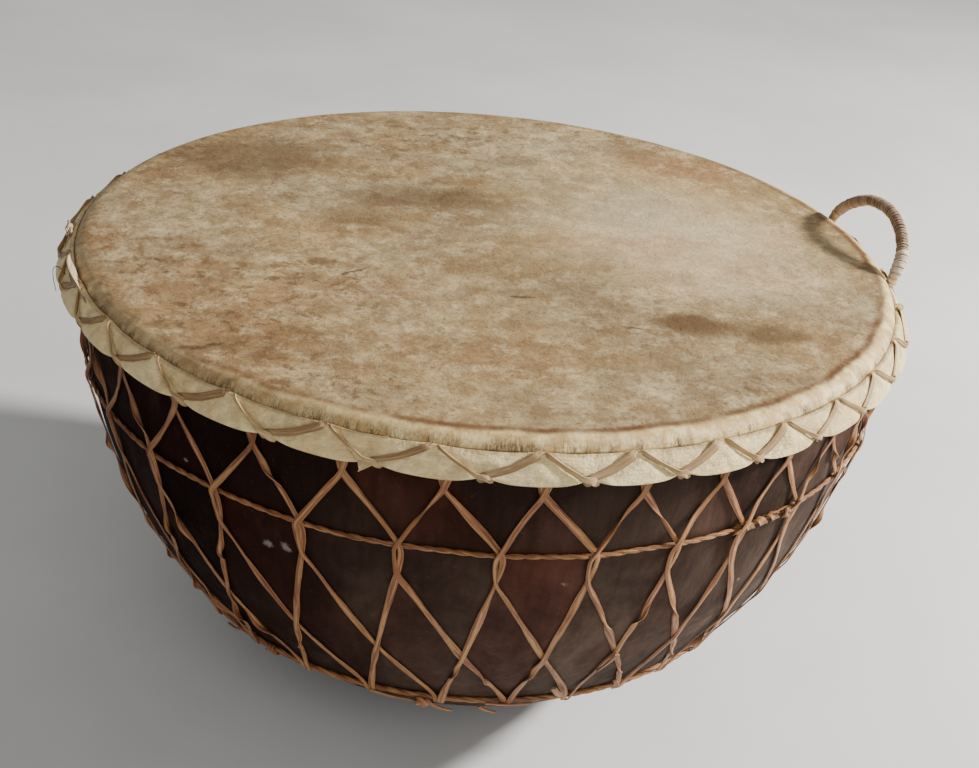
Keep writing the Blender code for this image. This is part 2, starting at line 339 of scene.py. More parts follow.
def lace_azimuth(number):
    """Azimuth of a lace. A fraction of a number lies between two laces."""
    return drifted(FIRST_LACE + FULL_TURN * number / LACES)


def lace_number(azimuth):
    """The lace, with its fraction, that lies at an azimuth."""
    even = azimuth
    for _ in range(4):
        even = azimuth - DRIFT * cos(DRIFT_WAVES * (even - DRIFT_PEAK))
    return (even - FIRST_LACE) * LACES / FULL_TURN % LACES


for level, depth in (("rim", 0.0), ("waist cord", WAIST_DEPTH), ("foot cord", FOOT_CORD_DEPTH)):
    print(f"bowl radius at the {level}: {shell_radius(depth):.4f}")

# %% [markdown]
# ## Turning and finishing pieces
#
# A turned piece starts as a profile, a chain of points from the axis outwards, and is spun round the axis with
# `bmesh.ops.spin`. `use_merge` closes the last step onto the first. Points on the axis fall together and are
# merged. After that the faces are made to point outwards.

# %% Turn a profile, and finish a piece
def turn_profile(profile, steps, closed=False):
    shape = bmesh.new()
    points = [shape.verts.new(at(radius, 0.0, depth)) for radius, depth in profile]
    edges = [shape.edges.new(pair) for pair in zip(points, points[1:])]
    if closed:
        edges.append(shape.edges.new((points[-1], points[0])))
    bmesh.ops.spin(
        shape, geom=points + edges, cent=(0, 0, 0), axis=(0, 0, 1), angle=FULL_TURN, steps=steps, use_merge=True
    )
    bmesh.ops.remove_doubles(shape, verts=shape.verts, dist=1e-6)
    bmesh.ops.recalc_face_normals(shape, faces=shape.faces)
    return shape


def arc(centre_radius, centre_depth, radius, start, end, steps):
    """Points of an arc in a profile. 0 points outward and a quarter turn points up."""
    angles = [start + (end - start) * step / steps for step in range(steps + 1)]
    return [(centre_radius + radius * cos(angle), centre_depth - radius * sin(angle)) for angle in angles]


def finish_piece(name, shape, surface, slot, *nodes, sharp_above=50):
    """Turns a bmesh into a smooth named object that rides on the drum and stands for its CAD nodes."""
    mesh = bpy.data.meshes.new(name)
    shape.to_mesh(mesh)
    shape.free()
    mesh.shade_smooth()
    mesh.set_sharp_from_angle(angle=radians(sharp_above))
    mesh.materials.append(surface)
    piece = bpy.data.objects.new(name, mesh)
    bpy.context.scene.collection.objects.link(piece)
    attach(piece, "root")
    if nodes:
        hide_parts(*nodes)
    faces = sum(len(face.vertices) - 2 for face in mesh.polygons)
    print(f"{name}: {faces} triangles")


print("a rounded edge:", [tuple(round(value, 4) for value in point) for point in arc(0.0, 0.0, 0.009, pi / 2, 0, 3)])

# %% [markdown]
# ## The wooden bowl
#
# The bowl is carved from one block, stained nearly black, with warmer panels between the thongs and a grey sheen
# painted on its lower sides. It is turned here from a double profile, so it has its true wall. Then every point is
# moved in by a fraction of a millimetre, because a surface shaped with an adze is never quite round.
#
# Which diamond between the thongs a point belongs to is worked out once and kept on the mesh as `panel`, so the
# material can give each diamond a tone of its own.

# %% The diamonds between the thongs
def diamond_at(azimuth, depth):
    """(kind, number) of the diamond between the thongs that a point of the bowl lies in."""
    number = lace_number(azimuth)
    stem_end = WAIST_DEPTH + STEM
    if depth < stem_end:
        share = clamped((depth - FORK_DEPTH) / (WAIST_DEPTH - FORK_DEPTH))
        beside_top = number % 1 - 0.5
        if abs(beside_top) < 0.5 * share:
            return "above" if depth < WAIST_DEPTH else "middle", floor(number) % LACES
        return "upper", round(number) % LACES
    if depth < CROSS_DEPTH:
        share = (depth - stem_end) / (CROSS_DEPTH - stem_end)
        step = floor(number - CROSSING_LEAD * share)
        if number < step + 1 - (1 - CROSSING_LEAD) * share:
            return "middle", step % LACES
        return "lower", (step + 1) % LACES
    share = min((depth - CROSS_DEPTH) / (FOOT_CORD_DEPTH - CROSS_DEPTH), 1.0)
    step = floor(number - CROSSING_LEAD + (1 - CROSSING_LEAD) * share)
    if number < step + CROSSING_LEAD + (FOOT_LEAD - CROSSING_LEAD) * share:
        return "foot", step % LACES
    return "lower", (step + 1) % LACES


# How red the stain is in the diamonds whose tone can be told on the real drum.
RED_DIAMONDS = {
    ("middle", 5): 0.85,
    ("above", 5): 0.25,
    ("above", 4): 0.45,
    ("lower", 5): 0.50,
    ("lower", 6): 0.15,
    ("lower", 4): 0.30,
    ("middle", 4): 0.0,
    ("middle", 6): 0.05,
    ("upper", 5): 0.0,
    ("upper", 4): 0.35,
    ("middle", 2): 0.3,
}
print("the diamond at the front, below the waist cord:", diamond_at(radians(-92), 0.12))

# %% [markdown]
# ### Carving
#
# The profile runs from the middle of the bottom up the inside, over the lip and down the outside to the flat foot.
# Its points are closest near the foot, where the curve turns in. `redness` and `painted_sheen` are kept on the mesh
# beside `panel`: the stain is redder in a few diamonds, and a grey sheen is painted on it lower down, as a highlight.

# %% Carve the bowl
WALL, BASE, RIM_ROUND, RIM_INNER_ROUND = 0.016, 0.020, 0.009, 0.003
OUTSIDE_STEPS, INSIDE_STEPS, ROUND_STEPS = 56, 24, 288


def hand_cut(shape, seed, amount, size):
    """Moves every point inwards a little, as a hand-cut surface waves."""
    for vertex in shape.verts:
        cut = 0.5 + 0.5 * wave(*(vertex.co + Vector((seed, 0, 0))) * size)
        vertex.co -= vertex.normal * amount * cut


def painted_sheen_share(azimuth, depth):
    """How much grey sheen is painted on the stain, as a painted highlight: most on the lower half of the sides that
    face the room.
    """
    sideways = max(0.0, cos(azimuth - radians(-52))) ** 1.5 + 0.35 * max(0.0, cos(azimuth - radians(100))) ** 4
    low = clamped((depth - 0.03) / 0.12)
    return sideways * (0.25 + 0.75 * low)


def carve_bowl(wood):
    quarters = [pi / 2 * step / OUTSIDE_STEPS for step in range(2, OUTSIDE_STEPS + 1)]
    outside = [belly_point(SHELL_HEIGHT * sin(angle)) for angle in quarters]
    outside = [point for point in outside if point[1] > RIM_ROUND]
    quarters = [pi / 2 * step / INSIDE_STEPS for step in range(INSIDE_STEPS + 1)]
    inside = [belly_point(RIM_INNER_ROUND + 0.31 * sin(angle), -WALL) for angle in quarters]
    inside = [point for point in inside if point[1] < SHELL_HEIGHT - BASE and point[0] > 0.02]
    rim = arc(SHELL_RADIUS - RIM_ROUND, RIM_ROUND, RIM_ROUND, pi / 2, 0, 5)
    lip = SHELL_RADIUS - WALL + RIM_INNER_ROUND
    foot = [(FOOT_RADIUS + 0.0002, SHELL_HEIGHT - 0.002), (FOOT_RADIUS - 0.002, SHELL_HEIGHT), (0.0, SHELL_HEIGHT)]
    profile = [(0.0, SHELL_HEIGHT - BASE), *reversed(inside), (lip, 0.0), *rim, *outside[:-1], *foot]
    shape = turn_profile(profile, ROUND_STEPS)
    shape.normal_update()
    hand_cut(shape, seed=3.0, amount=0.0005, size=14.0)
    tones, redness, painted_sheen = (shape.verts.layers.float.new(name) for name in ("panel", "redness", "painted_sheen"))
    for vertex in shape.verts:
        x, y, z = vertex.co
        diamond = diamond_at(atan2(y, x), SHELL_HEIGHT - z)
        chance = Random(f"{diamond}")
        vertex[tones] = chance.random()
        vertex[redness] = max(0.0, RED_DIAMONDS.get(diamond, chance.uniform(-0.3, 0.3)))
        vertex[painted_sheen] = painted_sheen_share(atan2(y, x), SHELL_HEIGHT - z) * (0.6 + 0.4 * vertex[tones])
    finish_piece("bowl", shape, wood, "dark_wood", "shell")


# %% [markdown]
# ### Finish of the wood
#
# Old stained wood has a ground tone, a fine upright grain and a few light scuffs. Its satin shine is painted: the
# `painted_sheen` value lays a grey highlight over the lower sides, and the wood itself reflects very little. The
# `panel` and `redness` values shift the ground tone from diamond to diamond.

# %% Stained wood
# Light scuffs, as (azimuth in degrees, depth, reach).
SCUFFS = (
    (-127.6, 0.1121, 0.0030),
    (-124.8, 0.1096, 0.0032),
    (-89.0, 0.1090, 0.0016),
    (-140.0, 0.0730, 0.0014),
    (-60.0, 0.1420, 0.0016),
)


def push_about(tree, place, size, reach):
    """Coordinates pushed about by a noise, so that an outline laid on them is ragged."""
    wander = add(tree, "TexNoise", {"Vector": place, "Scale": size, "Detail": 7.0, "Roughness": 0.68}).outputs["Color"]
    centred = vector_maths(tree, "SUBTRACT", wander, (0.5, 0.5, 0.5))[0]
    return vector_maths(tree, "MULTIPLY_ADD", centred, (reach, reach, 0.0), place)[0]


def near(tree, place, centre, reach):
    """A soft mask round one point in space."""
    far = vector_maths(tree, "DISTANCE", place, tuple(centre))["Value"]
    return graded(tree, far, reach * 0.5, reach * 1.5, 1.0, 0.0)


def make_stained_wood():
    wood, tree, shader = start_material("stained_wood")
    place = own_place(tree)
    panel, redness, painted_sheen = (carried(tree, name) for name in ("panel", "redness", "painted_sheen"))
    mottle = place_group(tree, MOTTLING, {"Vector": place, "Size": 11.0, "Fine Size": 70.0})
    colour = mixed(tree, panel, paint(19, 7, 4), paint(31, 13, 8))
    red = times(tree, redness, sloped(tree, mottle["Broad"], 0.6, 0.4))
    colour = mixed(tree, red, colour, paint(76, 27, 17))
    # Painted sheen: a pale grey highlight laid over the lower sides, in place of a real shine.
    sheen_mask = times(tree, painted_sheen, sloped(tree, mottle["Broad"], 0.65, 0.35))
    colour = tinted(tree, colour, sheen_mask, 0.82, paint(112, 94, 82))
    drawn = stretched(tree, place, (1.0, 1.0, 0.45))
    smudges = graded(tree, clouds(tree, drawn, 30.0, detail=5.0, roughness=0.6), 0.52, 0.70)
    colour = tinted(tree, colour, smudges, 0.11, paint(120, 84, 70))
    upright = stretched(tree, place, (1.0, 1.0, 0.10))
    grain = place_group(tree, FIBRE, {"Vector": upright, "Size": 170.0})
    colour = tinted(tree, colour, grain["Hairs"], 0.22, paint(9, 4, 3))
    specks = graded(tree, clouds(tree, place, 260.0, detail=4.0, roughness=0.7), 0.60, 0.74)
    colour = tinted(tree, colour, specks, 0.07, paint(150, 128, 112))
    ragged = push_about(tree, place, 170.0, 0.014)
    for azimuth, depth, reach in SCUFFS:
        mask = near(tree, ragged, at(shell_radius(depth), radians(azimuth), depth), reach)
        colour = tinted(tree, colour, mask, 0.42, paint(170, 158, 150))
    rough = sloped(tree, grain["Bundles"], 0.08, sloped(tree, mottle["Fine"], 0.12, 0.50))
    fill(tree, shader, {"Base Color": colour, "Roughness": rough, "Specular IOR Level": 0.03})
    height = sloped(tree, grain["Hairs"], 0.5, mottle["Fine"])
    roughen(tree, shader, height, 0.0005, 0.40)
    return wood


stained_wood = make_stained_wood()
carve_bowl(stained_wood)

# %% [markdown]
# ## The hide head
#
# The hide is wetted, pulled over the mouth of the bowl and dries as hard as wood. It lies flat over the mouth,
# rolls over the rim and runs down behind the collar. One profile of the top and the underside is spun, so that it
# is a closed skin. Slow waves of a fraction of a millimetre keep the flat face from looking machined.

# %% Stretch the hide
SKIN, SKIRT_DEPTH, GAP = 0.0016, 0.020, 0.0004
FACE_STEPS, HIDE_STEPS = 44, 320
SMOOTH_MIDDLE, SMOOTH_REACH = Vector((0.15, 0.03)), 0.17


def stretch_hide(hide_material):
    inner, outer = GAP, GAP + SKIN
    centre = SHELL_RADIUS - RIM_ROUND
    face = [(centre * (1 - (1 - step / FACE_STEPS) ** 1.3), -outer) for step in range(FACE_STEPS)]
    over = arc(centre, RIM_ROUND, RIM_ROUND + outer, pi / 2, 0, 12)
    under = arc(centre, RIM_ROUND, RIM_ROUND + inner, 0, pi / 2, 6)
    down = [belly_point(depth, outer) for depth in (0.012, 0.015, 0.018, SKIRT_DEPTH)]
    back_up = [belly_point(depth, inner) for depth in (SKIRT_DEPTH, 0.015)]
    shape = turn_profile([*face, *over, *down, *back_up, *under, (0.12, -inner), (0.0, -inner)], HIDE_STEPS)
    runs, smooth_parts = (shape.verts.layers.float.new(name) for name in ("run", "smooth_part"))
    for vertex in shape.verts:
        x, y, z = vertex.co
        radius, depth = sqrt(x * x + y * y), SHELL_HEIGHT - z
        over_edge = atan2(radius - centre, RIM_ROUND - depth) if radius > centre and depth < RIM_ROUND else pi / 2
        down = max(depth - RIM_ROUND, 0.0)
        vertex[runs] = radius if radius <= centre else centre + (RIM_ROUND + outer) * over_edge + down
        vertex[smooth_parts] = max(0.0, 1 - ((Vector((x, y)) - SMOOTH_MIDDLE).length / SMOOTH_REACH) ** 2)
        vertex.co.z += 0.0004 * (wave(*vertex.co * 9.0) + 0.5 * wave(*vertex.co * 25.0))
    finish_piece("drum_skin", shape, hide_material, "worn_hide", "drum_head")


# %% [markdown]
# ### Finish of the hide
#
# The hair side of a scraped hide keeps its history: broad clouds of tan and grey, darker stains with soft edges,
# small specks, a rusty line where the skin bends over the rim, and paler, hairy skin outside that line. Each big
# stain is given as (x, y, half length, half breadth, turn, strength), where it is on the real head. All
# of them are pushed about by one noise, so that none shows a clean outline.

# %% The places of the stains
# Each as (x, y, half length, half breadth, turn in degrees, strength). The scratches share one strength.
OLIVE_STAINS = (
    (-0.170, 0.163, 0.060, 0.044, 12, 0.72),
    (-0.034, 0.080, 0.062, 0.022, -4, 0.72),
    (-0.091, 0.036, 0.028, 0.015, 0, 0.55),
    (0.115, -0.145, 0.026, 0.016, -8, 0.95),
    (0.165, -0.161, 0.026, 0.013, -4, 0.75),
    (0.047, 0.165, 0.024, 0.012, 0, 0.50),
    (0.040, -0.060, 0.055, 0.055, 10, 0.22),
)
RUSTY_STAINS = (
    (-0.285, -0.010, 0.014, 0.036, 0, 0.75),
    (0.193, 0.160, 0.060, 0.026, -38, 0.60),
    (-0.175, -0.175, 0.034, 0.030, -20, 0.65),
    (-0.130, -0.205, 0.022, 0.018, -20, 0.40),
    (-0.240, -0.087, 0.026, 0.008, 0, 0.60),
    (-0.230, -0.100, 0.050, 0.070, 20, 0.25),
    (-0.060, 0.200, 0.060, 0.030, 6, 0.25),
)
PALE_PATCHES = (
    (0.149, -0.010, 0.085, 0.100, 0, 0.75),
    (0.070, 0.190, 0.075, 0.045, -6, 0.50),
    (-0.240, 0.040, 0.045, 0.070, 0, 0.40),
    (-0.091, -0.105, 0.045, 0.050, 0, 0.30),
    (-0.120, 0.090, 0.080, 0.020, 4, 0.30),
    (0.225, -0.110, 0.030, 0.060, 20, 0.40),
)
SCRATCHES = (
    (-0.221, -0.178, 0.013, 0.0026, 4),
    (-0.206, -0.174, 0.006, 0.0018, 24),
    (-0.200, -0.217, 0.012, 0.0020, 0),
    (0.004, -0.103, 0.008, 0.0024, -8),
    (0.070, -0.152, 0.006, 0.0016, -10),
    (-0.108, -0.062, 0.014, 0.0012, 35),
    (-0.242, -0.045, 0.0024, 0.0022, 0),
    (-0.236, -0.066, 0.0020, 0.0022, 0),
)


def lay_stains(tree, place, colour, stains, tint, soft_edge, strength=None):
    for x, y, long, broad, turn, *own_strength in stains:
        outline = {"Centre": (x, y, 0.0), "Half Size": (long, broad, 1.0), "Turn": radians(-turn)}
        mask = place_group(tree, STAIN, {"Vector": place, **outline, "Soft Edge": soft_edge})["Mask"]
        colour = tinted(tree, colour, mask, strength or own_strength[0], tint)
    return colour


print("stains and scratches:", sum(map(len, (OLIVE_STAINS, RUSTY_STAINS, PALE_PATCHES, SCRATCHES))))

# %% [markdown]
# #### The face
#
# The layers go on roughly from large to small: the clouds of the skin itself, then wear and stains, then specks, and
# scratches last. The part that is played most is smooth, so the small layers fade there.

# %% Colour the face
def colour_face(tree, place, busy, broad, fine, fibres):
    """The flat face, from its broad clouds to its scratches, plainer where busy falls to 0."""
    ragged, nearly = push_about(tree, place, 19.0, 0.044), push_about(tree, place, 90.0, 0.012)
    colour = mixed(tree, broad["Broad"], paint(164, 137, 92), paint(192, 166, 118))
    colour = lay_stains(tree, ragged, colour, PALE_PATCHES, paint(212, 194, 156), 0.7)
    colour = lay_stains(tree, ragged, colour, RUSTY_STAINS, paint(134, 92, 52), 0.6)
    drawn_out = stretched(tree, place, (1.0, 1.6, 1.0), move=(1.3, 0.7, 0.0))
    drift = clouds(tree, drawn_out, 7.5, detail=4.0, roughness=0.6)
    colour = tinted(tree, colour, graded(tree, drift, 0.46, 0.62), 0.42, paint(164, 156, 128))
    colour = tinted(tree, colour, graded(tree, drift, 0.36, 0.48, 1.0, 0.0), 0.36, paint(184, 134, 92))
    clouded = times(tree, broad["Fine"], sloped(tree, busy, 0.46, 0.12))
    colour = mixed(tree, clouded, colour, paint(122, 92, 55))
    blotched = clouds(tree, place, 74.0, detail=7.0, roughness=0.68, distortion=0.5)
    where = graded(tree, clouds(tree, place, 8.0, detail=3.0), 0.42, 0.62, 0.12, 1.0)
    blots = times(tree, graded(tree, blotched, 0.50, 0.60), times(tree, where, busy))
    colour = tinted(tree, colour, blots, 0.80, paint(92, 66, 36))
    small = sloped(tree, busy, 0.42, 0.16)
    colour = mixed(tree, times(tree, fine["Broad"], small), colour, paint(112, 84, 50))
    moved = stretched(tree, place, (1.0, 1.0, 1.0), move=(0.4, 0.2, 0.0))
    scraped = clouds(tree, moved, 52.0, detail=7.0, roughness=0.72)
    colour = tinted(tree, colour, graded(tree, scraped, 0.48, 0.68), 0.50, paint(222, 200, 156))
    colour = lay_stains(tree, ragged, colour, OLIVE_STAINS, paint(92, 68, 34), 0.5)
    freckles = clouds(tree, place, 330.0, detail=3.0, roughness=0.6)
    colour = mixed(tree, times(tree, graded(tree, freckles, 0.54, 0.68), small), colour, paint(106, 80, 52))
    colour = tinted(tree, colour, fibres["Hairs"], 0.12, paint(118, 92, 58))
    return lay_stains(tree, nearly, colour, SCRATCHES, paint(66, 46, 30), 0.6, strength=0.75)


# %% [markdown]
# #### The roll
#
# Bands of the roll are told apart by `run`, the distance over the hide from the middle of the head. It grows on
# evenly round the bend, where a height would not. A band is two distances in metres between which it begins or ends.

# %% Colour the roll
ROLL_BEGINS, LOW_BEGINS, UNDER_COLLAR_SHADE_BEGINS = (0.2880, 0.2930), (0.2940, 0.3030), (0.3026, 0.3050)
BEND_BEGINS, BEND_ENDS = (0.2830, 0.2880), (0.2886, 0.2935)
TOWARDS_FRONT = (0.60, -0.80, 0.0)


def colour_roll(tree, place, colour, run, round_rim, hairs):
    """Lays the pale, hairy roll and the rusty line of its bend over a colour, and paints shade on the hide below the
    collar's top. Gives the roll's mask as well.
    """
    uneven = sloped(tree, clouds(tree, round_rim, 9.0, detail=5.0, roughness=0.6), 0.0090, -0.0045)
    edge_run = maths(tree, "ADD", run, uneven)
    roll = graded(tree, edge_run, *ROLL_BEGINS)
    faced = vector_maths(tree, "DOT_PRODUCT", round_rim, TOWARDS_FRONT)["Value"]
    front = graded(tree, faced, -0.20, 0.80)
    tufts = graded(tree, clouds(tree, place, 90.0, detail=7.0, roughness=0.72), 0.38, 0.66)
    roll_colour = mixed(tree, tufts, paint(198, 163, 106), paint(255, 230, 168))
    roll_colour = tinted(tree, roll_colour, graded(tree, hairs, 0.46, 0.60), 0.36, paint(130, 98, 60))
    colour = tinted(tree, colour, roll, graded(tree, front, 0.0, 1.0, 0.25, 0.85), roll_colour)
    bend = maths(tree, "SUBTRACT", graded(tree, edge_run, *BEND_BEGINS), graded(tree, edge_run, *BEND_ENDS))
    worn_here = graded(tree, clouds(tree, round_rim, 3.6, detail=6.0, roughness=0.65), 0.38, 0.60, 0.30, 1.0)
    strong_here = graded(tree, faced, -0.4, 0.9, 0.25, 1.0)
    colour = tinted(tree, colour, bend, times(tree, worn_here, strong_here), paint(98, 62, 30))
    # Dark bristles low on the roll, darkest next to the collar: dark hairs, and partly a painted shade line where the
    # roll meets the collar.
    shaggy = graded(tree, clouds(tree, round_rim, 26.0, detail=5.0, roughness=0.65), 0.42, 0.58)
    bristles = times(tree, graded(tree, hairs, 0.42, 0.54), shaggy)
    low = times(tree, graded(tree, edge_run, *LOW_BEGINS), bristles)
    colour = tinted(tree, colour, low, 0.85, paint(62, 42, 26))
    # Painted shade: below the collar's top the hide is painted nearly black.
    return mixed(tree, graded(tree, run, *UNDER_COLLAR_SHADE_BEGINS, 0.0, 0.92), colour, paint(40, 24, 14)), roll


# %% [markdown]
# #### The whole hide
#
# Now the patterns that the face, the roll and the relief share are made once and handed to each of them. The hairs
# are noise combed down the roll, and they stand in for the face's fine relief there.

# %% Worn hide
def make_worn_hide():
    hide, tree, shader = start_material("worn_hide")
    place, run = own_place(tree), carried(tree, "run")
    busy = maths(tree, "SUBTRACT", 1.0, carried(tree, "smooth_part"))
    broad = place_group(tree, MOTTLING, {"Vector": place, "Size": 5.0, "Fine Size": 27.0})
    fine = place_group(tree, MOTTLING, {"Vector": place, "Size": 66.0, "Fine Size": 220.0})
    lengthways = stretched(tree, place, (0.22, 1.0, 1.0), turn=radians(-4))
    fibres = place_group(tree, FIBRE, {"Vector": lengthways, "Size": 300.0})
    colour = colour_face(tree, place, busy, broad, fine, fibres)
    round_rim = vector_maths(tree, "NORMALIZE", vector_maths(tree, "MULTIPLY", place, (1.0, 1.0, 0.0))[0])[0]
    down_roll = add(tree, "CombineXYZ", {2: times(tree, run, 0.8)}).outputs[0]
    combed = vector_maths(tree, "ADD", round_rim, down_roll)[0]
    hairs = clouds(tree, combed, 260.0, detail=7.0, roughness=0.8, distortion=1.2)
    colour, roll = colour_roll(tree, place, colour, run, round_rim, hairs)
    rough = sloped(tree, fine["Broad"], 0.16, 0.50)
    fill(tree, shader, {"Base Color": colour, "Roughness": rough, "Specular IOR Level": 0.35})
    relief = maths(tree, "ADD", fine["Fine"], maths(tree, "ADD", broad["Fine"], fine["Broad"]))
    height = sloped(tree, fibres["Hairs"], 0.2, relief)
    roughen(tree, shader, mixed(tree, roll, height, hairs), 0.0008, 0.4)
    return hide


stretch_hide(make_worn_hide())

# %% [markdown]
# ## The rawhide collar
#
# Over the hide's edge lies a collar of thick white rawhide. The lacing crosses it in a zigzag: a flat strap goes
# up, a thin one comes down. Where they press, the rawhide is drawn in, and between them it stands up like a
# small cushion. The section is spun first, and then each point is moved by where it lies between the straps.

# %% Where the zigzag runs over the collar
COLLAR_TOP, COLLAR_BOTTOM, COLLAR_FLARE, COLLAR = 0.0080, 0.0250, 0.0068, 0.0024
COLLAR_RADIUS = SHELL_RADIUS + 2 * GAP + SKIN
COLLAR_LEAN = atan2(COLLAR_FLARE, COLLAR_BOTTOM - COLLAR_TOP)
HEM_RISE, LOBE_DROP, CREST_RISE = 0.0046, 0.0027, 0.0012
STRAP_FOOT, STRAP_HEAD, THIN_HEAD, THIN_FOOT = -0.08, 0.44, 0.57, 1.03


def collar_point(share, out):
    """(radius, depth) of a point a share of the way down the collar, off its inner face."""
    radius = COLLAR_RADIUS + COLLAR_FLARE * share + out * cos(COLLAR_LEAN)
    return radius, COLLAR_TOP + (COLLAR_BOTTOM - COLLAR_TOP) * share - out * sin(COLLAR_LEAN)


def collar_rise(azimuth):
    """How far the collar sits higher than elsewhere: it was pulled up at the left."""
    return 0.0028 * max(0.0, cos(azimuth - radians(-158))) ** 3


def zigzag_place(azimuth):
    """How far a point of the collar is from one turn of the zigzag at the lower edge to the next, from 0 to 1."""
    return (lace_number(azimuth) + STRAP_LAG) % 1.0


def collar_lift(azimuth, share):
    """How far a place on the collar is drawn up: its hem most where the straps go under, and its top at each lobe."""
    place = zigzag_place(azimuth)
    lobe = (LOBE_DROP + 0.0008 * cos(azimuth)) * sin(pi * place) ** 0.7
    hem = clamped((share - 0.45) / 0.55) * (HEM_RISE - lobe)
    crest = clamped((0.5 - share) / 0.5) * CREST_RISE * max(0.0, 1 - abs(place - 0.5) * 3.4)
    return collar_rise(azimuth) + hem + crest + 0.0004 * wave(azimuth * 9.0, 4.0)


def off_the_straps(place, share):
    """Metres along the collar to the nearer of the two straps, and whether the point is in a lower lobe."""
    pitch = FULL_TURN * COLLAR_RADIUS / LACES
    nearest, lobe = 1.0, False
    for turn in (-1.0, 0.0, 1.0):
        wide = STRAP_FOOT + (STRAP_HEAD - STRAP_FOOT) * (1 - share) + turn
        thin = THIN_HEAD + (THIN_FOOT - THIN_HEAD) * share + turn
        nearest = min(nearest, abs(place - wide) * pitch, abs(place - thin) * pitch)
        lobe = lobe or wide < place < thin
    return nearest, lobe


print("collar radius:", round(COLLAR_RADIUS, 4), "lean:", round(degrees(COLLAR_LEAN), 1))

# %% [markdown]
# ### Forming the collar
#
# The section is a thin closed loop, a little thicker in the middle of its height. Each lower lobe between the straps
# swells outwards more than each upper one. The height down the collar is kept as `share`, so the finish can darken
# both edges, and the inner face has a value of its own, since only shade is seen there.

# %% Form the collar
BEHIND, FRONT_STEPS = -0.3, 14
LOBE, CREST = (0.014, 0.0036), (0.009, 0.0016)


def form_collar(rawhide):
    heights = [step / FRONT_STEPS for step in range(FRONT_STEPS + 1)]
    front = [(share, COLLAR + 0.0008 * sin(pi * share)) for share in heights]
    lower = [(1.03, COLLAR * 0.7), (1.04, COLLAR * 0.35), (1.02, 0.0002)]
    back = [(share, 0.0) for share in (0.85, 0.6, 0.3, 0.0)]
    upper = [(-0.02, 0.0004), (-0.03, COLLAR * 0.45)]
    profile = [collar_point(share, out) for share, out in (*front, *lower, *back, *upper)]
    shape = turn_profile(profile, LACES * 20, closed=True)
    shares = shape.verts.layers.float.new("share")
    for vertex in shape.verts:
        x, y, z = vertex.co
        radius, azimuth = sqrt(x * x + y * y), atan2(y, x)
        share = (SHELL_HEIGHT - COLLAR_TOP - z) / (COLLAR_BOTTOM - COLLAR_TOP)
        in_front = radius > collar_point(share, COLLAR * 0.5)[0]
        vertex[shares] = share if in_front else BEHIND
        place = zigzag_place(azimuth)
        distance, lobe = off_the_straps(place, clamped(share))
        reach, swell = LOBE if lobe else CREST
        free = min(distance / reach, 1.0)
        creases = wave(*vertex.co * 42.0) + 0.6 * wave(*vertex.co * 110.0)
        if in_front:
            radius += free * (2 - free) * swell * clamped(share * 3.5 + 0.25) - 0.0007 + 0.0008 * creases
        else:
            radius -= 0.0013 * max(0.0, 1 - max(share, 0.0) * 1.6)
        z += collar_lift(azimuth, share) + 0.0005 * creases * clamped(share)
        vertex.co = Vector((radius * cos(azimuth), radius * sin(azimuth), z))
    finish_piece("collar_hide", shape, rawhide, "white_rawhide", "rim_collar")


# %% [markdown]
# ### Finish of the white rawhide
#
# Rawhide dries stiff and nearly white. Grey-green patches on it are painted shade, as small dents would leave it. Its
# fibres run round the drum, so the pattern is stretched sideways, and soft folds are both painted darker, as painted
# shade, and raised by the bump, which keeps the two together.

# %% White rawhide
def make_white_rawhide():
    rawhide, tree, shader = start_material("white_rawhide")
    place = own_place(tree)
    mottle = place_group(tree, MOTTLING, {"Vector": place, "Size": 24.0, "Fine Size": 150.0})
    level = stretched(tree, place, (0.14, 0.14, 1.0))
    fibres = place_group(tree, FIBRE, {"Vector": level, "Size": 480.0})
    colour = mixed(tree, mottle["Broad"], paint(255, 232, 172), paint(240, 208, 146))
    # Painted shade: grey-green patches where small dents would lie in shade.
    dent_shade = graded(tree, clouds(tree, place, 70.0, detail=6.0, roughness=0.6), 0.46, 0.66)
    colour = tinted(tree, colour, dent_shade, 0.36, paint(186, 164, 118))
    colour = tinted(tree, colour, fibres["Hairs"], 0.20, paint(176, 146, 102))
    colour = tinted(tree, colour, mottle["Fine"], 0.18, paint(156, 128, 88))
    folds = clouds(tree, stretched(tree, place, (1.0, 1.0, 0.5)), 85.0, detail=4.0, distortion=0.8)
    # Painted shade in the folds: their hollows are darkened, and the bump raises the same folds.
    fold_shade = graded(tree, folds, 0.34, 0.50, 1.0, 0.0)
    colour = tinted(tree, colour, fold_shade, 0.30, paint(150, 130, 92))
    share = carried(tree, "share")
    edges = maths(tree, "MAXIMUM", graded(tree, share, 0.88, 1.04), graded(tree, share, -0.04, 0.03, 1.0, 0.0))
    colour = tinted(tree, colour, edges, 0.45, paint(142, 108, 68))
    # Painted shade: the inner face, where only shade is seen, is painted nearly black; along the top edge this gives
    # the thin dark line under the hide.
    colour = mixed(tree, graded(tree, share, BEHIND, BEHIND / 3, 0.92, 0.0), colour, paint(44, 28, 16))
    fill(tree, shader, {"Base Color": colour, "Roughness": sloped(tree, mottle["Fine"], 0.15, 0.42)})
    height = maths(tree, "ADD", fibres["Hairs"], sloped(tree, folds, 3.5, mottle["Fine"]))
    roughen(tree, shader, height, 0.0014, 0.6)
    return rawhide


white_rawhide = make_white_rawhide()
form_collar(white_rawhide)

# %% [markdown]
# ## Thongs and cords
#
# Every thong, strap and cord of the drum is a section carried along a path. The section is one ring of points
# from `create_circle`. It is extruded edge by edge, and each new ring is moved to the next station of the path.
# A station is a 4 x 4 matrix with the direction across the thong, the direction out of it and the direction along
# it as its columns, scaled by half its width and half its thickness.
#
# The mesh keeps three values on its points for the materials: `along` in metres, `across` from -1 to 1, and
# `strand`, one number for each piece of thong.

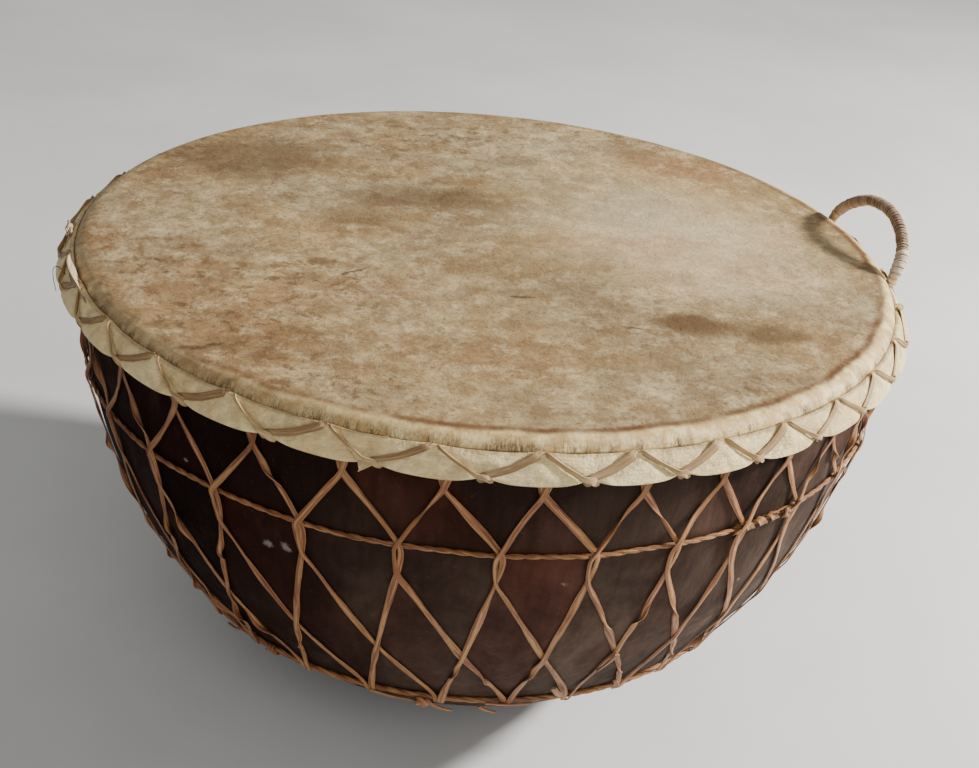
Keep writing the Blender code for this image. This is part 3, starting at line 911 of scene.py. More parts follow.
# %% Carry a section along a path
def station(place, along, out, width, thickness, roll=0.0):
    along = along.normalized()
    across = out.cross(along).normalized()
    turn = Matrix((across, along.cross(across), along)).transposed().to_4x4()
    size = Matrix.Diagonal((width / 2, thickness / 2, (width + thickness) / 4, 1.0))
    return Matrix.Translation(place) @ turn @ Matrix.Rotation(roll, 4, "Z") @ size


def heading(points, index, closed=False):
    """The direction of a line at one of its points, from the point before it to the point after it."""
    if closed:
        return points[(index + 1) % len(points)] - points[index - 1]
    return points[min(index + 1, len(points) - 1)] - points[max(index - 1, 0)]


def stations_along(places, sizes, closed=False, edge_up=False):
    """A station at each (point, outward direction), sized (width, thickness, roll).

    edge_up raises a rolled thong, so that its lower edge stays on what it lies on.
    """
    points = [point for point, _ in places]
    stations = []
    for index, ((point, out), (width, thickness, roll)) in enumerate(zip(places, sizes)):
        if edge_up:
            half_height = sqrt((width / 2 * sin(roll)) ** 2 + (thickness / 2 * cos(roll)) ** 2)
            point = point + out * (half_height - thickness / 2)
        stations.append(station(point, heading(points, index, closed), out, width, thickness, roll))
    return stations


def carry_section(stations, sides, strand, closed=False, boxy=1.0, cup=0.0):
    """Sweeps a ring through the stations. boxy below 1 squares the section off, and cup curls its edges up."""
    shape = bmesh.new()
    along, across, strands = (shape.verts.layers.float.new(name) for name in ("along", "across", "strand"))
    ring = bmesh.ops.create_circle(shape, cap_ends=False, radius=1.0, segments=sides)["verts"]
    for vertex in ring:
        x, y, _ = vertex.co
        vertex[across], vertex[strands] = x, strand
        vertex.co = (copysign(abs(x) ** boxy, x), copysign(abs(y) ** boxy, y) + cup * (x * x - 0.5), 0.0)
    bmesh.ops.transform(shape, matrix=stations[0], verts=ring)
    first = edges = shape.edges[:]
    length = 0.0
    for before, after in zip(stations, stations[1:]):
        grown = bmesh.ops.extrude_edge_only(shape, edges=edges)["geom"]
        edges = [item for item in grown if isinstance(item, bmesh.types.BMEdge)]
        ring = [item for item in grown if isinstance(item, bmesh.types.BMVert)]
        bmesh.ops.transform(shape, matrix=after @ before.inverted(), verts=ring)
        length += (after.translation - before.translation).length
        for vertex in ring:
            vertex[along] = length
    if closed:
        bmesh.ops.bridge_loops(shape, edges=edges + first)
    else:
        for end in (first, edges):
            bmesh.ops.contextual_create(shape, geom=end)
    bmesh.ops.recalc_face_normals(shape, faces=shape.faces)
    return shape


def gather(shapes):
    """Joins several shapes into one."""
    whole = bmesh.new()
    for name in ("along", "across", "strand"):
        whole.verts.layers.float.new(name)
    for shape in shapes:
        mesh = bpy.data.meshes.new("strand")
        shape.to_mesh(mesh)
        shape.free()
        whole.from_mesh(mesh)
        bpy.data.meshes.remove(mesh)
    return whole


upright_station = station(Vector((0.0, 0.0, 0.0)), UP, Vector((1.0, 0.0, 0.0)), 0.004, 0.001)
print("half sizes at one station:", [round(value, 4) for value in upright_station.to_scale()])

# %% [markdown]
# ### Tufts of hair
#
# Some of the animal's hair is left on the roll, just above the collar. Each hair is a thin spike with three sides.
# `create_cone` makes it, and a 4 x 4 matrix lays it on the roll with its tip leaning up towards the face. They grow
# in tufts, because a noise round the rim decides where there are any.

# %% Leave some hair on the roll
HAIRS, HAIR_RADIUS = 2600, 0.00016


def leave_tufts(hair):
    shape = bmesh.new()
    chance = Random(41)
    middle = SHELL_RADIUS - RIM_ROUND
    outer = RIM_ROUND + GAP + SKIN
    for _ in range(HAIRS):
        azimuth = chance.uniform(-pi, pi)
        grown = wave(azimuth * 7.0, 1.0) + 0.5 * wave(azimuth * 23.0, 2.0)
        root, length, lean = chance.uniform(0.0, 0.55), chance.uniform(0.0018, 0.0048), chance.gauss(0.0, 0.35)
        if grown < chance.uniform(0.05, 0.45):
            continue
        rim = at(middle, azimuth, RIM_ROUND)
        out = Vector((cos(azimuth) * cos(root), sin(azimuth) * cos(root), sin(root)))
        up = Vector((-cos(azimuth) * sin(root), -sin(azimuth) * sin(root), cos(root)))
        sideways = Vector((-sin(azimuth), cos(azimuth), 0.0))
        along = (up + sideways * lean + out * 0.22).normalized()
        turn = station(rim + out * (outer - 0.0001) + along * length / 2, along, out, 2.0, 2.0)
        bmesh.ops.create_cone(
            shape, cap_ends=True, segments=3, radius1=HAIR_RADIUS, radius2=HAIR_RADIUS * 0.1, depth=length, matrix=turn
        )
    finish_piece("hair_tufts", shape, hair, "worn_hide", sharp_above=80)


def make_dark_hair():
    hair, tree, shader = start_material("dark_hair")
    tint = clouds(tree, own_place(tree), 400.0, detail=2.0)
    colour = mixed(tree, graded(tree, tint, 0.4, 0.6), paint(60, 40, 24), paint(132, 100, 66))
    fill(tree, shader, {"Base Color": colour, "Roughness": graded(tree, tint, 0.3, 0.7, 0.5, 0.7)})
    return hair


leave_tufts(make_dark_hair())

# %% [markdown]
# ### Paths over the bowl
#
# A path over the bowl is written as a few waypoints of (azimuth, depth, lift off the wood). Straight runs are
# cut into short steps, and then each step is moved a little towards its neighbours, which rounds the corners as a
# stiff thong rounds them.

# %% Lay a path over the bowl
def on_bowl(step):
    """A step of (azimuth, depth, lift) as a point, with the bowl's outward direction there."""
    azimuth, depth, lift = step
    outward, downward = belly_normal(depth)
    out = Vector((outward * cos(azimuth), outward * sin(azimuth), -downward))
    return at(shell_radius(depth), azimuth, depth) + out * lift, out


def beside(azimuth, depth, lift, sideways=0.0):
    """A waypoint, moved sideways round the drum by a distance."""
    return Vector((azimuth + sideways / shell_radius(depth), depth, lift))


def cut_steps(waypoints, spacing):
    """Even steps along the runs between waypoints, and the number of the step at each waypoint."""
    steps, marks = [], []
    for here, after in zip(waypoints, waypoints[1:]):
        marks.append(len(steps))
        count = max(1, round((on_bowl(here)[0] - on_bowl(after)[0]).length / spacing))
        steps += [here.lerp(after, step / count) for step in range(count)]
    return [*steps, waypoints[-1]], [*marks, len(steps)]


def round_corners(steps, passes):
    for _ in range(passes):
        middle = [(a + 2 * b + c) / 4 for a, b, c in zip(steps, steps[1:], steps[2:])]
        steps = [steps[0], *middle, steps[-1]]
    return steps


down_the_bowl = cut_steps([Vector((0.0, FORK_DEPTH, 0.0)), Vector((0.0, FOOT_CORD_DEPTH, 0.0))], 0.01)[0]
print("steps from the fork to the foot cord:", len(down_the_bowl))

# %% [markdown]
# ## The net of thongs
#
# One thong makes the whole net. From behind the collar it drops to a lace at the waist cord, hooks round its
# neighbour, slants on down past a second crossing and loops the foot cord. Then it climbs back the same way to
# the lace two further on. Here each such round is one strand, with both ends hidden behind the collar.
#
# The round is written as waypoints. Each says how high the thong rides there: over a cord, over the other thong at a
# crossing, or close to the wood.

# %% Where the thong of the net runs
THONG_WIDTH, THONG, WAIST_CORD, FOOT_CORD = 0.0042, 0.0011, 0.0032, 0.0040
ON_WOOD = 0.0009


def fork_azimuth(lace):
    """Where the thong comes out from under the collar: halfway between two laces, give or take a finger's breadth."""
    number = lace % LACES
    lag = 0.13 * max(0.0, 1 - abs(number - 4.6) / 3.4) + 0.05 * wave(number * 1.7, 8.0)
    return lace_azimuth(lace + 0.5 - lag)


def net_waypoints(lace):
    """The waypoints of one round of the thong: down to the foot cord, and back up two laces on."""
    top, node, foot = fork_azimuth(lace), lace_azimuth(lace), lace_azimuth(lace + FOOT_LEAD)
    next_node, next_top = lace_azimuth(lace + 2), fork_azimuth(lace + 1)
    crossing, next_crossing = lace_azimuth(lace + CROSSING_LEAD), lace_azimuth(lace + 1 + CROSSING_LEAD)
    over_waist, over_foot = WAIST_CORD + GAP + ON_WOOD, FOOT_CORD + GAP + ON_WOOD
    hook, stem_end = WAIST_DEPTH - 0.0045, WAIST_DEPTH + STEM
    down = [
        beside(top, 0.0155, 0.0032, 0.0036),
        beside(top, 0.0250, 0.0038, 0.0030),
        beside(top, FORK_DEPTH, 0.0032),
        beside(node, hook, 0.0050, 0.0008),
        beside(node, WAIST_DEPTH, over_waist + 0.0005, -0.0021),
        beside(node, WAIST_DEPTH + 0.011, 0.0030, -0.0019),
        beside(node, stem_end, 0.0028, 0.0),
        beside(crossing, CROSS_DEPTH, 0.0009),
        beside(foot, FOOT_CORD_DEPTH - 0.006, 0.0026, -0.0026),
        beside(foot, FOOT_CORD_DEPTH, over_foot, -0.0022),
        beside(foot, FOOT_CORD_DEPTH + 0.0050, 0.0038, -0.0002),
    ]
    up = [
        beside(foot, FOOT_CORD_DEPTH, over_foot + 0.0008, 0.0020),
        beside(foot, FOOT_CORD_DEPTH - 0.006, 0.0034, 0.0020),
        beside(next_crossing, CROSS_DEPTH, 0.0027),
        beside(next_node, stem_end, 0.0012, 0.0),
        beside(next_node, WAIST_DEPTH + 0.011, 0.0026, 0.0021),
        beside(next_node, WAIST_DEPTH, over_waist, 0.0024),
        beside(next_node, hook, 0.0030, -0.0008),
        beside(next_top, FORK_DEPTH, 0.0014),
        beside(next_top, 0.0250, 0.0030, -0.0030),
        beside(next_top, 0.0155, 0.0032, -0.0036),
    ]
    return down + up


print("waypoints in one round of the net:", len(net_waypoints(0)))

# %% [markdown]
# ### Lacing
#
# The thong was twisted as it was drawn tight, so it lies flat, turns over and lies flat again. Half a turn of
# roll, eased in over a couple of centimetres at a place picked for each run, gives the same narrow waists.

# %% Lace the net
THONG_STEP, LIFTED_STEPS = 0.0032, 5
TWISTED_RUNS = (2, 6, 7, 12, 13, 17)


def settle(steps, marks):
    """Lays the thong on the wood between two crossings: a crossing lifts only the few steps next to it."""
    for start, end in zip(marks, marks[1:]):
        for index in range(start + 1, end):
            azimuth, depth, lift = steps[index]
            fade = max(0.0, 1 - min(index - start, end - index) / LIFTED_STEPS)
            steps[index] = Vector((azimuth, depth, ON_WOOD + (lift - ON_WOOD) * fade))
    return steps


def twist_runs(steps, marks, chance):
    """The roll of the thong at every step: flat at each waypoint, with half turns here and there on long runs."""
    roll = [0.0] * len(steps)
    for run in TWISTED_RUNS:
        start, end = marks[run], marks[run + 1]
        turns = chance.choice((0, 0, 0, 1, -1))
        for _ in range(abs(turns)):
            middle = start + (end - start) * chance.uniform(0.35, 0.65)
            half = chance.uniform(4.0, 7.0)
            for step in range(len(steps)):
                share = clamped((step - middle) / (2 * half) + 0.5)
                roll[step] += copysign(pi, turns) * share * share * (3 - 2 * share)
    return roll


def lace_round(lace):
    chance = Random(700 + lace)
    steps, marks = cut_steps(net_waypoints(lace), THONG_STEP)
    rolls = twist_runs(steps, marks, chance)
    places = [on_bowl(step) for step in round_corners(settle(steps, marks), 2)]
    sizes = []
    for index, roll in enumerate(rolls):
        width = THONG_WIDTH * (1 + 0.60 * wave(index * 0.11, lace * 3.1))
        thickness = THONG * (1 + 0.25 * wave(index * 0.30, lace * 3.1, 9.0))
        sizes.append((width, thickness, roll + 0.35 * wave(index * 0.09, 50 + lace * 3.1)))
    return carry_section(stations_along(places, sizes, edge_up=True), 10, chance.random(), boxy=0.78, cup=0.16)


def lace_net(thong):
    shape = gather([lace_round(lace) for lace in range(LACES)])
    finish_piece("net_thongs", shape, thong, "thong_rawhide", "side_lacing", sharp_above=65)


# %% [markdown]
# ### Finish of the thongs
#
# All thongs share one finish with different colours. Its pattern lies on the values `along` and `across`, so it
# follows every bend, and `strand` shifts it from one thong to the next. Pale fibre bundles along the middle and pale
# patches on the edges are painted highlights, grime sits in patches, and the net is darker and redder at the far
# left, partly its own red and partly painted shade on the side away from the light. On a binding the edges are
# darkened as well, as painted shade in the grooves between turns.

# %% Thong rawhide
def make_thong_rawhide(name, ground, red, pale, groove_shade=0.0):
    """Rawhide cut in a strip. groove_shade paints shade on its edges, in the grooves where the turns of a binding lie
    side by side.
    """
    thong, tree, shader = start_material(name)
    along, across, strand = carried(tree, "along"), carried(tree, "across"), carried(tree, "strand")
    offset = times(tree, strand, 37.0)
    flow = add(tree, "CombineXYZ", {0: sloped(tree, along, 22.0, offset), 1: across, 2: offset}).outputs[0]
    fibres = place_group(tree, FIBRE, {"Vector": flow, "Size": 4.6})
    blotch = clouds(tree, flow, 0.8, detail=5.0, roughness=0.65)
    colour = mixed(tree, graded(tree, blotch, 0.38, 0.62), red, ground)
    # Darker and redder at the far left: partly the thong's own red, partly painted shade on the side away from the
    # light.
    left = graded(tree, add(tree, "SeparateXYZ", {0: own_place(tree)}).outputs["X"], -0.27, -0.12, 0.75, 0.0)
    colour = mixed(tree, left, colour, red)
    # Painted highlight: pale fibre bundles, strongest along the middle of the thong.
    from_middle = maths(tree, "ABSOLUTE", across)
    middle = graded(tree, from_middle, 0.15, 0.85, 1.0, 0.35)
    colour = tinted(tree, colour, fibres["Bundles"], times(tree, middle, 0.62), pale)
    colour = tinted(tree, colour, fibres["Hairs"], 0.34, paint(92, 50, 26))
    # Painted highlight: pale patches along both edges.
    edge = graded(tree, from_middle, 0.70, 1.0)
    patchy_highlight = graded(tree, clouds(tree, flow, 2.3, detail=3.0), 0.45, 0.62)
    colour = tinted(tree, colour, times(tree, edge, patchy_highlight), 0.50, pale)
    grime = graded(tree, clouds(tree, flow, 3.2, detail=5.0), 0.56, 0.74)
    colour = tinted(tree, colour, grime, 0.50, paint(66, 34, 18))
    # Painted shade in the grooves between the turns of a binding.
    if groove_shade:
        colour = tinted(tree, colour, edge, groove_shade, paint(52, 34, 22))
    rough = sloped(tree, fibres["Hairs"], 0.22, 0.38)
    fill(tree, shader, {"Base Color": colour, "Roughness": rough, "Specular IOR Level": 0.4})
    roughen(tree, shader, maths(tree, "ADD", fibres["Hairs"], fibres["Bundles"]), 0.0004, 0.7)
    return thong


net_rawhide = make_thong_rawhide("net_rawhide", paint(150, 97, 48), paint(108, 46, 19), paint(208, 160, 102))
lace_net(net_rawhide)

# %% [markdown]
# ## Waist cord and foot cord
#
# The waist cord is a two-ply twist that runs round the bowl behind the stems of the net. The foot cord is three
# plies laid together. Each ply is a thin section carried round the drum on a helix about the cord's own line.

# %% Twist the cords
STEPS_A_TURN = 9


def ply_stations(depth, ply, plies, radius, thickness, turns, steps, sag):
    """The stations of one ply of a cord that girdles the bowl."""
    places = []
    for step in range(steps):
        share = step / steps
        azimuth = share * FULL_TURN
        round_cord = FULL_TURN * (turns * share + ply / plies)
        slack = sag * wave(cos(azimuth) * 6, sin(azimuth) * 6, depth * 40)
        level = depth + slack + radius * sin(round_cord)
        places.append(on_bowl((azimuth, level, thickness * 0.36 + radius * (1 + cos(round_cord)))))
    return stations_along(places, [(thickness * 1.15, thickness, 0.0)] * steps, closed=True)


def twist_cord(name, node, depth, plies, radius, thickness, turns, sag):
    shapes = []
    for ply in range(plies):
        stations = ply_stations(depth, ply, plies, radius, thickness, turns, turns * STEPS_A_TURN, sag)
        shapes.append(carry_section(stations, 6, 0.1 + 0.3 * ply, closed=True))
    finish_piece(name, gather(shapes), net_rawhide, "thong_rawhide", node, sharp_above=70)


twist_cord("waist_plies", "waist_cord", WAIST_DEPTH, plies=2, radius=0.0006, thickness=0.0022, turns=84, sag=0.0016)
twist_cord("foot_plies", "foot_cord", FOOT_CORD_DEPTH, plies=3, radius=0.0009, thickness=0.0025, turns=44, sag=0.0024)

# %% [markdown]
# ## The zigzag over the collar
#
# A flat tan strap comes from under the collar, slants up over it and slips behind its upper edge. A thin one comes
# down from there, crosses the flat one near the lower edge and goes under. Both follow the collar's own surface,
# a little above it.

# %% Lay the zigzag
OVER_COLLAR = COLLAR + 0.0010


def on_collar(azimuth, share, out):
    """A point that stands off the collar, with the collar's outward direction there."""
    radius, depth = collar_point(share, out)
    depth -= collar_lift(azimuth, share)
    flat = cos(COLLAR_LEAN)
    return at(radius, azimuth, depth), Vector((flat * cos(azimuth), flat * sin(azimuth), sin(COLLAR_LEAN)))


def collar_run(lace, waypoints, thickness, strand):
    """A strap over the collar. A waypoint is (laces on, share of the way down, height, width, roll)."""
    steps = []
    for here, after in zip(waypoints, waypoints[1:]):
        count = 8 if abs(here[1] - after[1]) > 0.2 else 4
        steps += [tuple(a + (b - a) * step / count for a, b in zip(here, after)) for step in range(count)]
    steps.append(waypoints[-1])
    paths = round_corners([Vector((lace - STRAP_LAG + on, share, out)) for on, share, out, _, _ in steps], 2)
    sizes = round_corners([Vector((width, thickness, roll)) for _, _, _, width, roll in steps], 3)
    places = [on_collar(lace_azimuth(number), share, out) for number, share, out in paths]
    return carry_section(stations_along(places, sizes, edge_up=True), 10, strand, boxy=0.62, cup=0.2)


def flat_run(lace, chance):
    """One flat strap, from under the collar's lower edge to behind its upper one."""
    shift, wide = chance.uniform(-0.03, 0.03), chance.uniform(0.0038, 0.0060)
    head = STRAP_HEAD + shift
    waypoints = (
        (0.03, 0.93, 0.0002, wide * 0.7, 0.0),
        (-0.01, 1.08, 0.0010, wide * 0.8, 0.0),
        (STRAP_FOOT + 0.02, 1.05, OVER_COLLAR - 0.0004, wide * 0.8, 0.0),
        (STRAP_FOOT + 0.05, 0.90, OVER_COLLAR + 0.0002, wide * 0.8, 0.0),
        (0.18 + shift, 0.5, OVER_COLLAR + 0.0008, wide, 0.1),
        (head, 0.07, OVER_COLLAR + 0.0002, wide * 1.15, 0.0),
        (head + 0.03, 0.00, 0.0014, wide, 0.0),
        (head + 0.04, 0.12, 0.0002, wide * 0.7, 0.0),
    )
    return collar_run(lace, waypoints, 0.0010, chance.random())


def thin_run(lace, chance):
    """One thin strap, from behind the upper edge down to under the lower one, on its edge in between."""
    head, thin = THIN_HEAD + chance.uniform(-0.03, 0.03), chance.uniform(0.0026, 0.0036)
    waypoints = (
        (head - 0.03, 0.10, 0.0002, thin * 0.7, 0.0),
        (head - 0.02, 0.00, 0.0014, thin * 0.9, 0.2),
        (head + 0.01, 0.06, OVER_COLLAR, thin, 0.6),
        (0.80, 0.5, OVER_COLLAR + 0.0010, thin * 1.05, chance.uniform(0.7, 1.3)),
        (THIN_FOOT - 0.12, 0.86, OVER_COLLAR + 0.0016, thin * 1.2, 0.7),
        (THIN_FOOT - 0.02, 1.03, OVER_COLLAR + 0.0006, thin * 1.5, 0.1),
        (THIN_FOOT + 0.03, 1.09, 0.0010, thin * 1.3, 0.0),
        (THIN_FOOT + 0.02, 0.93, 0.0002, thin, 0.0),
    )
    return collar_run(lace, waypoints, 0.0013, chance.random())


def lay_zigzag(strap_rawhide, thin_rawhide):
    flat_straps, thin_straps = [], []
    for lace in range(LACES):
        chance = Random(90 + lace)
        flat_straps.append(flat_run(lace, chance))
        thin_straps.append(thin_run(lace, chance))
    finish_piece("collar_strap", gather(flat_straps), strap_rawhide, "thong_rawhide", "collar_lacing", sharp_above=65)
    finish_piece("collar_thong", gather(thin_straps), thin_rawhide, "thong_rawhide", sharp_above=65)


strap_rawhide = make_thong_rawhide("strap_rawhide", paint(158, 128, 84), paint(136, 102, 62), paint(186, 158, 114))
thin_rawhide = make_thong_rawhide("thin_rawhide", paint(190, 158, 108), paint(150, 112, 68), paint(222, 198, 154))
lay_zigzag(strap_rawhide, thin_rawhide)

# %% [markdown]
# ## The loop handle
#
# A bent stick, bound all over, stands in two notches of the collar and leans out. Its line passes smoothly
# through a few measured points. The stick is one section carried along that line, and the binding is a thin
# thong carried round it on a helix, close-wound over the crown and paler and broader near the front foot.

# %% The line of the handle
HANDLE_SPAN, HANDLE_RISE, HANDLE_LEAN = 0.122, 0.034, radians(30)
GRIP_RADIUS, ROD_RADIUS, ROD_DEPTH = 0.0040, 0.0025, 0.017
NOTCH_STEPS, SWELL_STEPS, BINDING = 20, 30, 0.0008
ROD_STAND = COLLAR_RADIUS + ROD_RADIUS
LOOP_SHAPE = ((0.03, 0.20), (0.11, 0.56), (0.26, 0.87), (0.49, 1.00), (0.71, 0.88), (0.88, 0.60), (0.98, 0.26))


def smooth_through(points, steps):
    """A smooth line that passes through all the points."""
    ends = [points[0], *points, points[-1]]
    line = []
    for before, here, after, beyond in zip(ends, ends[1:], ends[2:], ends[3:]):
        for step in range(steps):
            t = step / steps
            square = (before * 2 - here * 5 + after * 4 - beyond) * t * t
            cube = (here * 3 - before - after * 3 + beyond) * t**3
            line.append((here * 2 + (after - before) * t + (square + cube)) / 2)
    return [*line, points[-1].copy()]


def handle_line():
    azimuth = asin(HANDLE_SPAN / 2 / ROD_STAND)
    far, near = at(ROD_STAND, azimuth, 0.0), at(ROD_STAND, -azimuth, 0.0)
    rise = Vector((sin(HANDLE_LEAN), 0.0, cos(HANDLE_LEAN))) * HANDLE_RISE
    foot, neck = Vector((0.0, 0.0, -ROD_DEPTH)), Vector((0.0, 0.0, -COLLAR_TOP / 2))
    points = [far + foot, far + neck]
    points += [far.lerp(near, along) + rise * up for along, up in LOOP_SHAPE]
    return smooth_through([*points, near + neck, near + foot], 24)


HANDLE_LINE = handle_line()
print("handle line:", round(sum((b - a).length for a, b in zip(HANDLE_LINE, HANDLE_LINE[1:])), 3), "m long")

# %% [markdown]
# ### Bending and binding
#
# The stick is thinner in the notches than over the loop. The binding goes round it twelve steps to a turn, and a
# noise lifts a turn here and there, as the thong rides up on the one before it.

# %% Bend and bind the handle
HANDLE_OUT = Vector((cos(HANDLE_LEAN), 0.0, -sin(HANDLE_LEAN)))
WINDING_STEPS = 12


def handle_radius(index):
    """Half the stick's thickness: thin in the notches and full over the loop."""
    from_end = min(index, len(HANDLE_LINE) - 1 - index)
    share = clamped((from_end - NOTCH_STEPS) / SWELL_STEPS)
    return ROD_RADIUS + (GRIP_RADIUS - ROD_RADIUS) * share - BINDING


def bend_handle(wrap):
    stations = []
    for index in range(0, len(HANDLE_LINE), 3):
        thickness = 2 * handle_radius(index)
        stations.append(station(HANDLE_LINE[index], heading(HANDLE_LINE, index), HANDLE_OUT, thickness, thickness))
    finish_piece("handle_core", carry_section(stations, 12, 0.5), wrap, "handle_wrap", "handle")


def bind_handle(name, start, end, turns, thickness, breadth, seed, wrap):
    """Winds a thong round the handle from one share of its line to another."""
    places = []
    steps = turns * WINDING_STEPS
    last = len(HANDLE_LINE) - 1
    for step in range(steps + 1):
        reach = (start + (end - start) * step / steps) * last
        index = min(int(reach), last - 1)
        centre = HANDLE_LINE[index].lerp(HANDLE_LINE[index + 1], reach - index)
        side = HANDLE_OUT.cross(heading(HANDLE_LINE, index)).normalized()
        angle = FULL_TURN * step / WINDING_STEPS
        outward = side * cos(angle) + HANDLE_OUT * sin(angle)
        uneven = 0.32 * thickness * wave(step * 0.15, seed)
        places.append((centre + outward * (handle_radius(index) + thickness * 0.35 + uneven), outward))
    stations = stations_along(places, [(breadth, thickness, 0.0)] * len(places))
    finish_piece(name, carry_section(stations, 6, seed), wrap, "handle_wrap", sharp_above=70)


brown_tones = paint(178, 146, 114), paint(138, 102, 76), paint(222, 198, 164)
pale_tones = paint(238, 222, 192), paint(200, 170, 132), paint(248, 238, 216)
handle_wrap = make_thong_rawhide("handle_wrap", *brown_tones, groove_shade=0.85)
pale_wrap = make_thong_rawhide("pale_wrap", *pale_tones, groove_shade=0.9)
bend_handle(handle_wrap)
bind_handle("handle_turns", 0.06, 0.75, turns=54, thickness=0.0019, breadth=0.0025, seed=0.3, wrap=handle_wrap)
bind_handle("handle_wraps", 0.72, 0.93, turns=7, thickness=0.0026, breadth=0.0054, seed=0.7, wrap=pale_wrap)

# %% [markdown]
# ## Loose ends, knots and the torn corner
#
# A laced drum is never tidy. Thongs are cut off past their knots, one strip of the collar ends in a torn corner,
# and its edge curls up at the left. Each loose end is a short ribbon with a taper. A knot is the section carried
# along the curve of a simple overhand knot.

# %% Ribbons, knots and windings
KNOT_STEPS = 48


def loose_ribbon(waypoints, widths, thickness, strand):
    """A short ribbon through waypoints of (azimuth in degrees, depth, lift), tapering between two widths."""
    steps, _ = cut_steps([Vector((radians(azimuth), depth, lift)) for azimuth, depth, lift in waypoints], 0.0018)
    places = [on_bowl(step) for step in round_corners(steps, 2)]
    first, last = widths
    shares = [index / (len(places) - 1) for index in range(len(places))]
    sizes = [(first + (last - first) * share, thickness, 0.0) for share in shares]
    return carry_section(stations_along(places, sizes), 8, strand, boxy=0.72, cup=0.3)


def knot_round(centre, out, size, thickness, strand):
    """An overhand knot: a section carried along a closed trefoil, flattened against what it lies on."""
    across = UP.cross(out).normalized()
    along = across.cross(out)
    places = []
    for step in range(KNOT_STEPS):
        angle = FULL_TURN * step / KNOT_STEPS
        flat = across * (sin(angle) + 2 * sin(2 * angle)) + along * (cos(angle) - 2 * cos(2 * angle))
        places.append((centre + (flat - out * sin(3 * angle)) * size / 6, out))
    sizes = [(thickness * 1.3, thickness, 0.0)] * KNOT_STEPS
    return carry_section(stations_along(places, sizes, closed=True), 8, strand, closed=True)


def wind_round_cord(depth, start, end, cord, thickness, breadth, strand):
    """A thong wound three and a half times round a cord of the bowl, between two azimuths in degrees."""
    turns, count = 3.5, 49
    places = []
    for step in range(count + 1):
        angle = FULL_TURN * turns * step / count
        azimuth = radians(start + (end - start) * step / count)
        radius = cord / 2 + thickness / 2
        centre, out = on_bowl((azimuth, depth, GAP + cord / 2))
        low = (out * out.dot(UP) - UP).normalized()
        outward = (out * cos(angle) + low * sin(angle)).normalized()
        lift = radius if outward.dot(out) > -0.3 else radius * 0.75
        places.append((centre + outward * lift, outward))
    return carry_section(stations_along(places, [(breadth, thickness, 0.0)] * len(places)), 6, strand)


print("steps along one knot:", KNOT_STEPS)

# %% [markdown]
# ### Tying them
#
# Most ends lie near the foot cord at the front, where they do on the real drum, and a few lie higher or further
# round. The waist cord is spliced at the right, and its knot sits beside the splice.

# %% Tie the loose ends
# Each as three waypoints and the widths at both ends.
LOOSE_ENDS = (
    (((-106.0, 0.2500, 0.0052), (-103.8, 0.2545, 0.0072), (-101.4, 0.2585, 0.0076)), (0.0050, 0.0044)),
    (((-96.6, 0.2505, 0.0058), (-95.2, 0.2540, 0.0074), (-93.6, 0.2562, 0.0080)), (0.0036, 0.0030)),
    (((-95.6, 0.2462, 0.0048), (-91.6, 0.2478, 0.0054), (-87.4, 0.2485, 0.0052)), (0.0036, 0.0026)),
    (((-85.4, 0.2230, 0.0042), (-84.2, 0.2310, 0.0050), (-82.8, 0.2385, 0.0050)), (0.0044, 0.0056)),
    (((-78.0, 0.1840, 0.0044), (-78.6, 0.1950, 0.0036), (-79.2, 0.2080, 0.0022)), (0.0040, 0.0010)),
    (((-116.0, 0.2470, 0.0054), (-112.0, 0.2500, 0.0058), (-108.4, 0.2512, 0.0054)), (0.0040, 0.0030)),
    (((-74.0, 0.2280, 0.0044), (-72.8, 0.2340, 0.0056), (-71.6, 0.2400, 0.0060)), (0.0034, 0.0020)),
    (((-44.4, 0.0800, 0.0046), (-43.6, 0.0785, 0.0052), (-43.2, 0.0770, 0.0058)), (0.0026, 0.0010)),
    (((-147.0, 0.2460, 0.0058), (-144.6, 0.2435, 0.0056), (-142.6, 0.2400, 0.0044)), (0.0040, 0.0024)),
    (((8.0, 0.2500, 0.0056), (10.4, 0.2540, 0.0070), (12.6, 0.2570, 0.0076)), (0.0044, 0.0030)),
    (((89.6, 0.0840, 0.0050), (91.0, 0.0890, 0.0062), (91.8, 0.0960, 0.0060)), (0.0044, 0.0030)),
)


WAIST_KNOT_ENDS = (
    (((-57.9, 0.0815, 0.0056), (-58.3, 0.0780, 0.0070), (-58.6, 0.0750, 0.0066)), (0.0034, 0.0026), 0.0014, 0.9),
    (((-57.2, 0.0815, 0.0056), (-56.2, 0.0790, 0.0064), (-55.4, 0.0770, 0.0058)), (0.0032, 0.0024), 0.0014, 0.4),
)


def tie_loose_ends():
    ends = [loose_ribbon(*end, 0.0016, 0.1 + 0.08 * index) for index, end in enumerate(LOOSE_ENDS)]
    foot_knot = knot_round(*on_bowl((radians(-106.6), FOOT_CORD_DEPTH - 0.001, 0.0062)), 0.0078, 0.0036, 0.05)
    finish_piece("cut_ends", gather([*ends, foot_knot]), net_rawhide, "thong_rawhide", sharp_above=60)
    spliced = wind_round_cord(WAIST_DEPTH, -66.5, -58.6, WAIST_CORD, 0.0014, 0.0072, 0.6)
    wrapped = wind_round_cord(FOOT_CORD_DEPTH, -137.6, -135.2, FOOT_CORD, 0.0016, 0.0030, 0.8)
    waist_knot = knot_round(*on_bowl((radians(-57.6), WAIST_DEPTH, 0.0046)), 0.0058, 0.0024, 0.9)
    knotted = gather([spliced, wrapped, waist_knot, *[loose_ribbon(*end) for end in WAIST_KNOT_ENDS]])
    finish_piece("splice_and_knot", knotted, net_rawhide, "thong_rawhide", sharp_above=60)


tie_loose_ends()

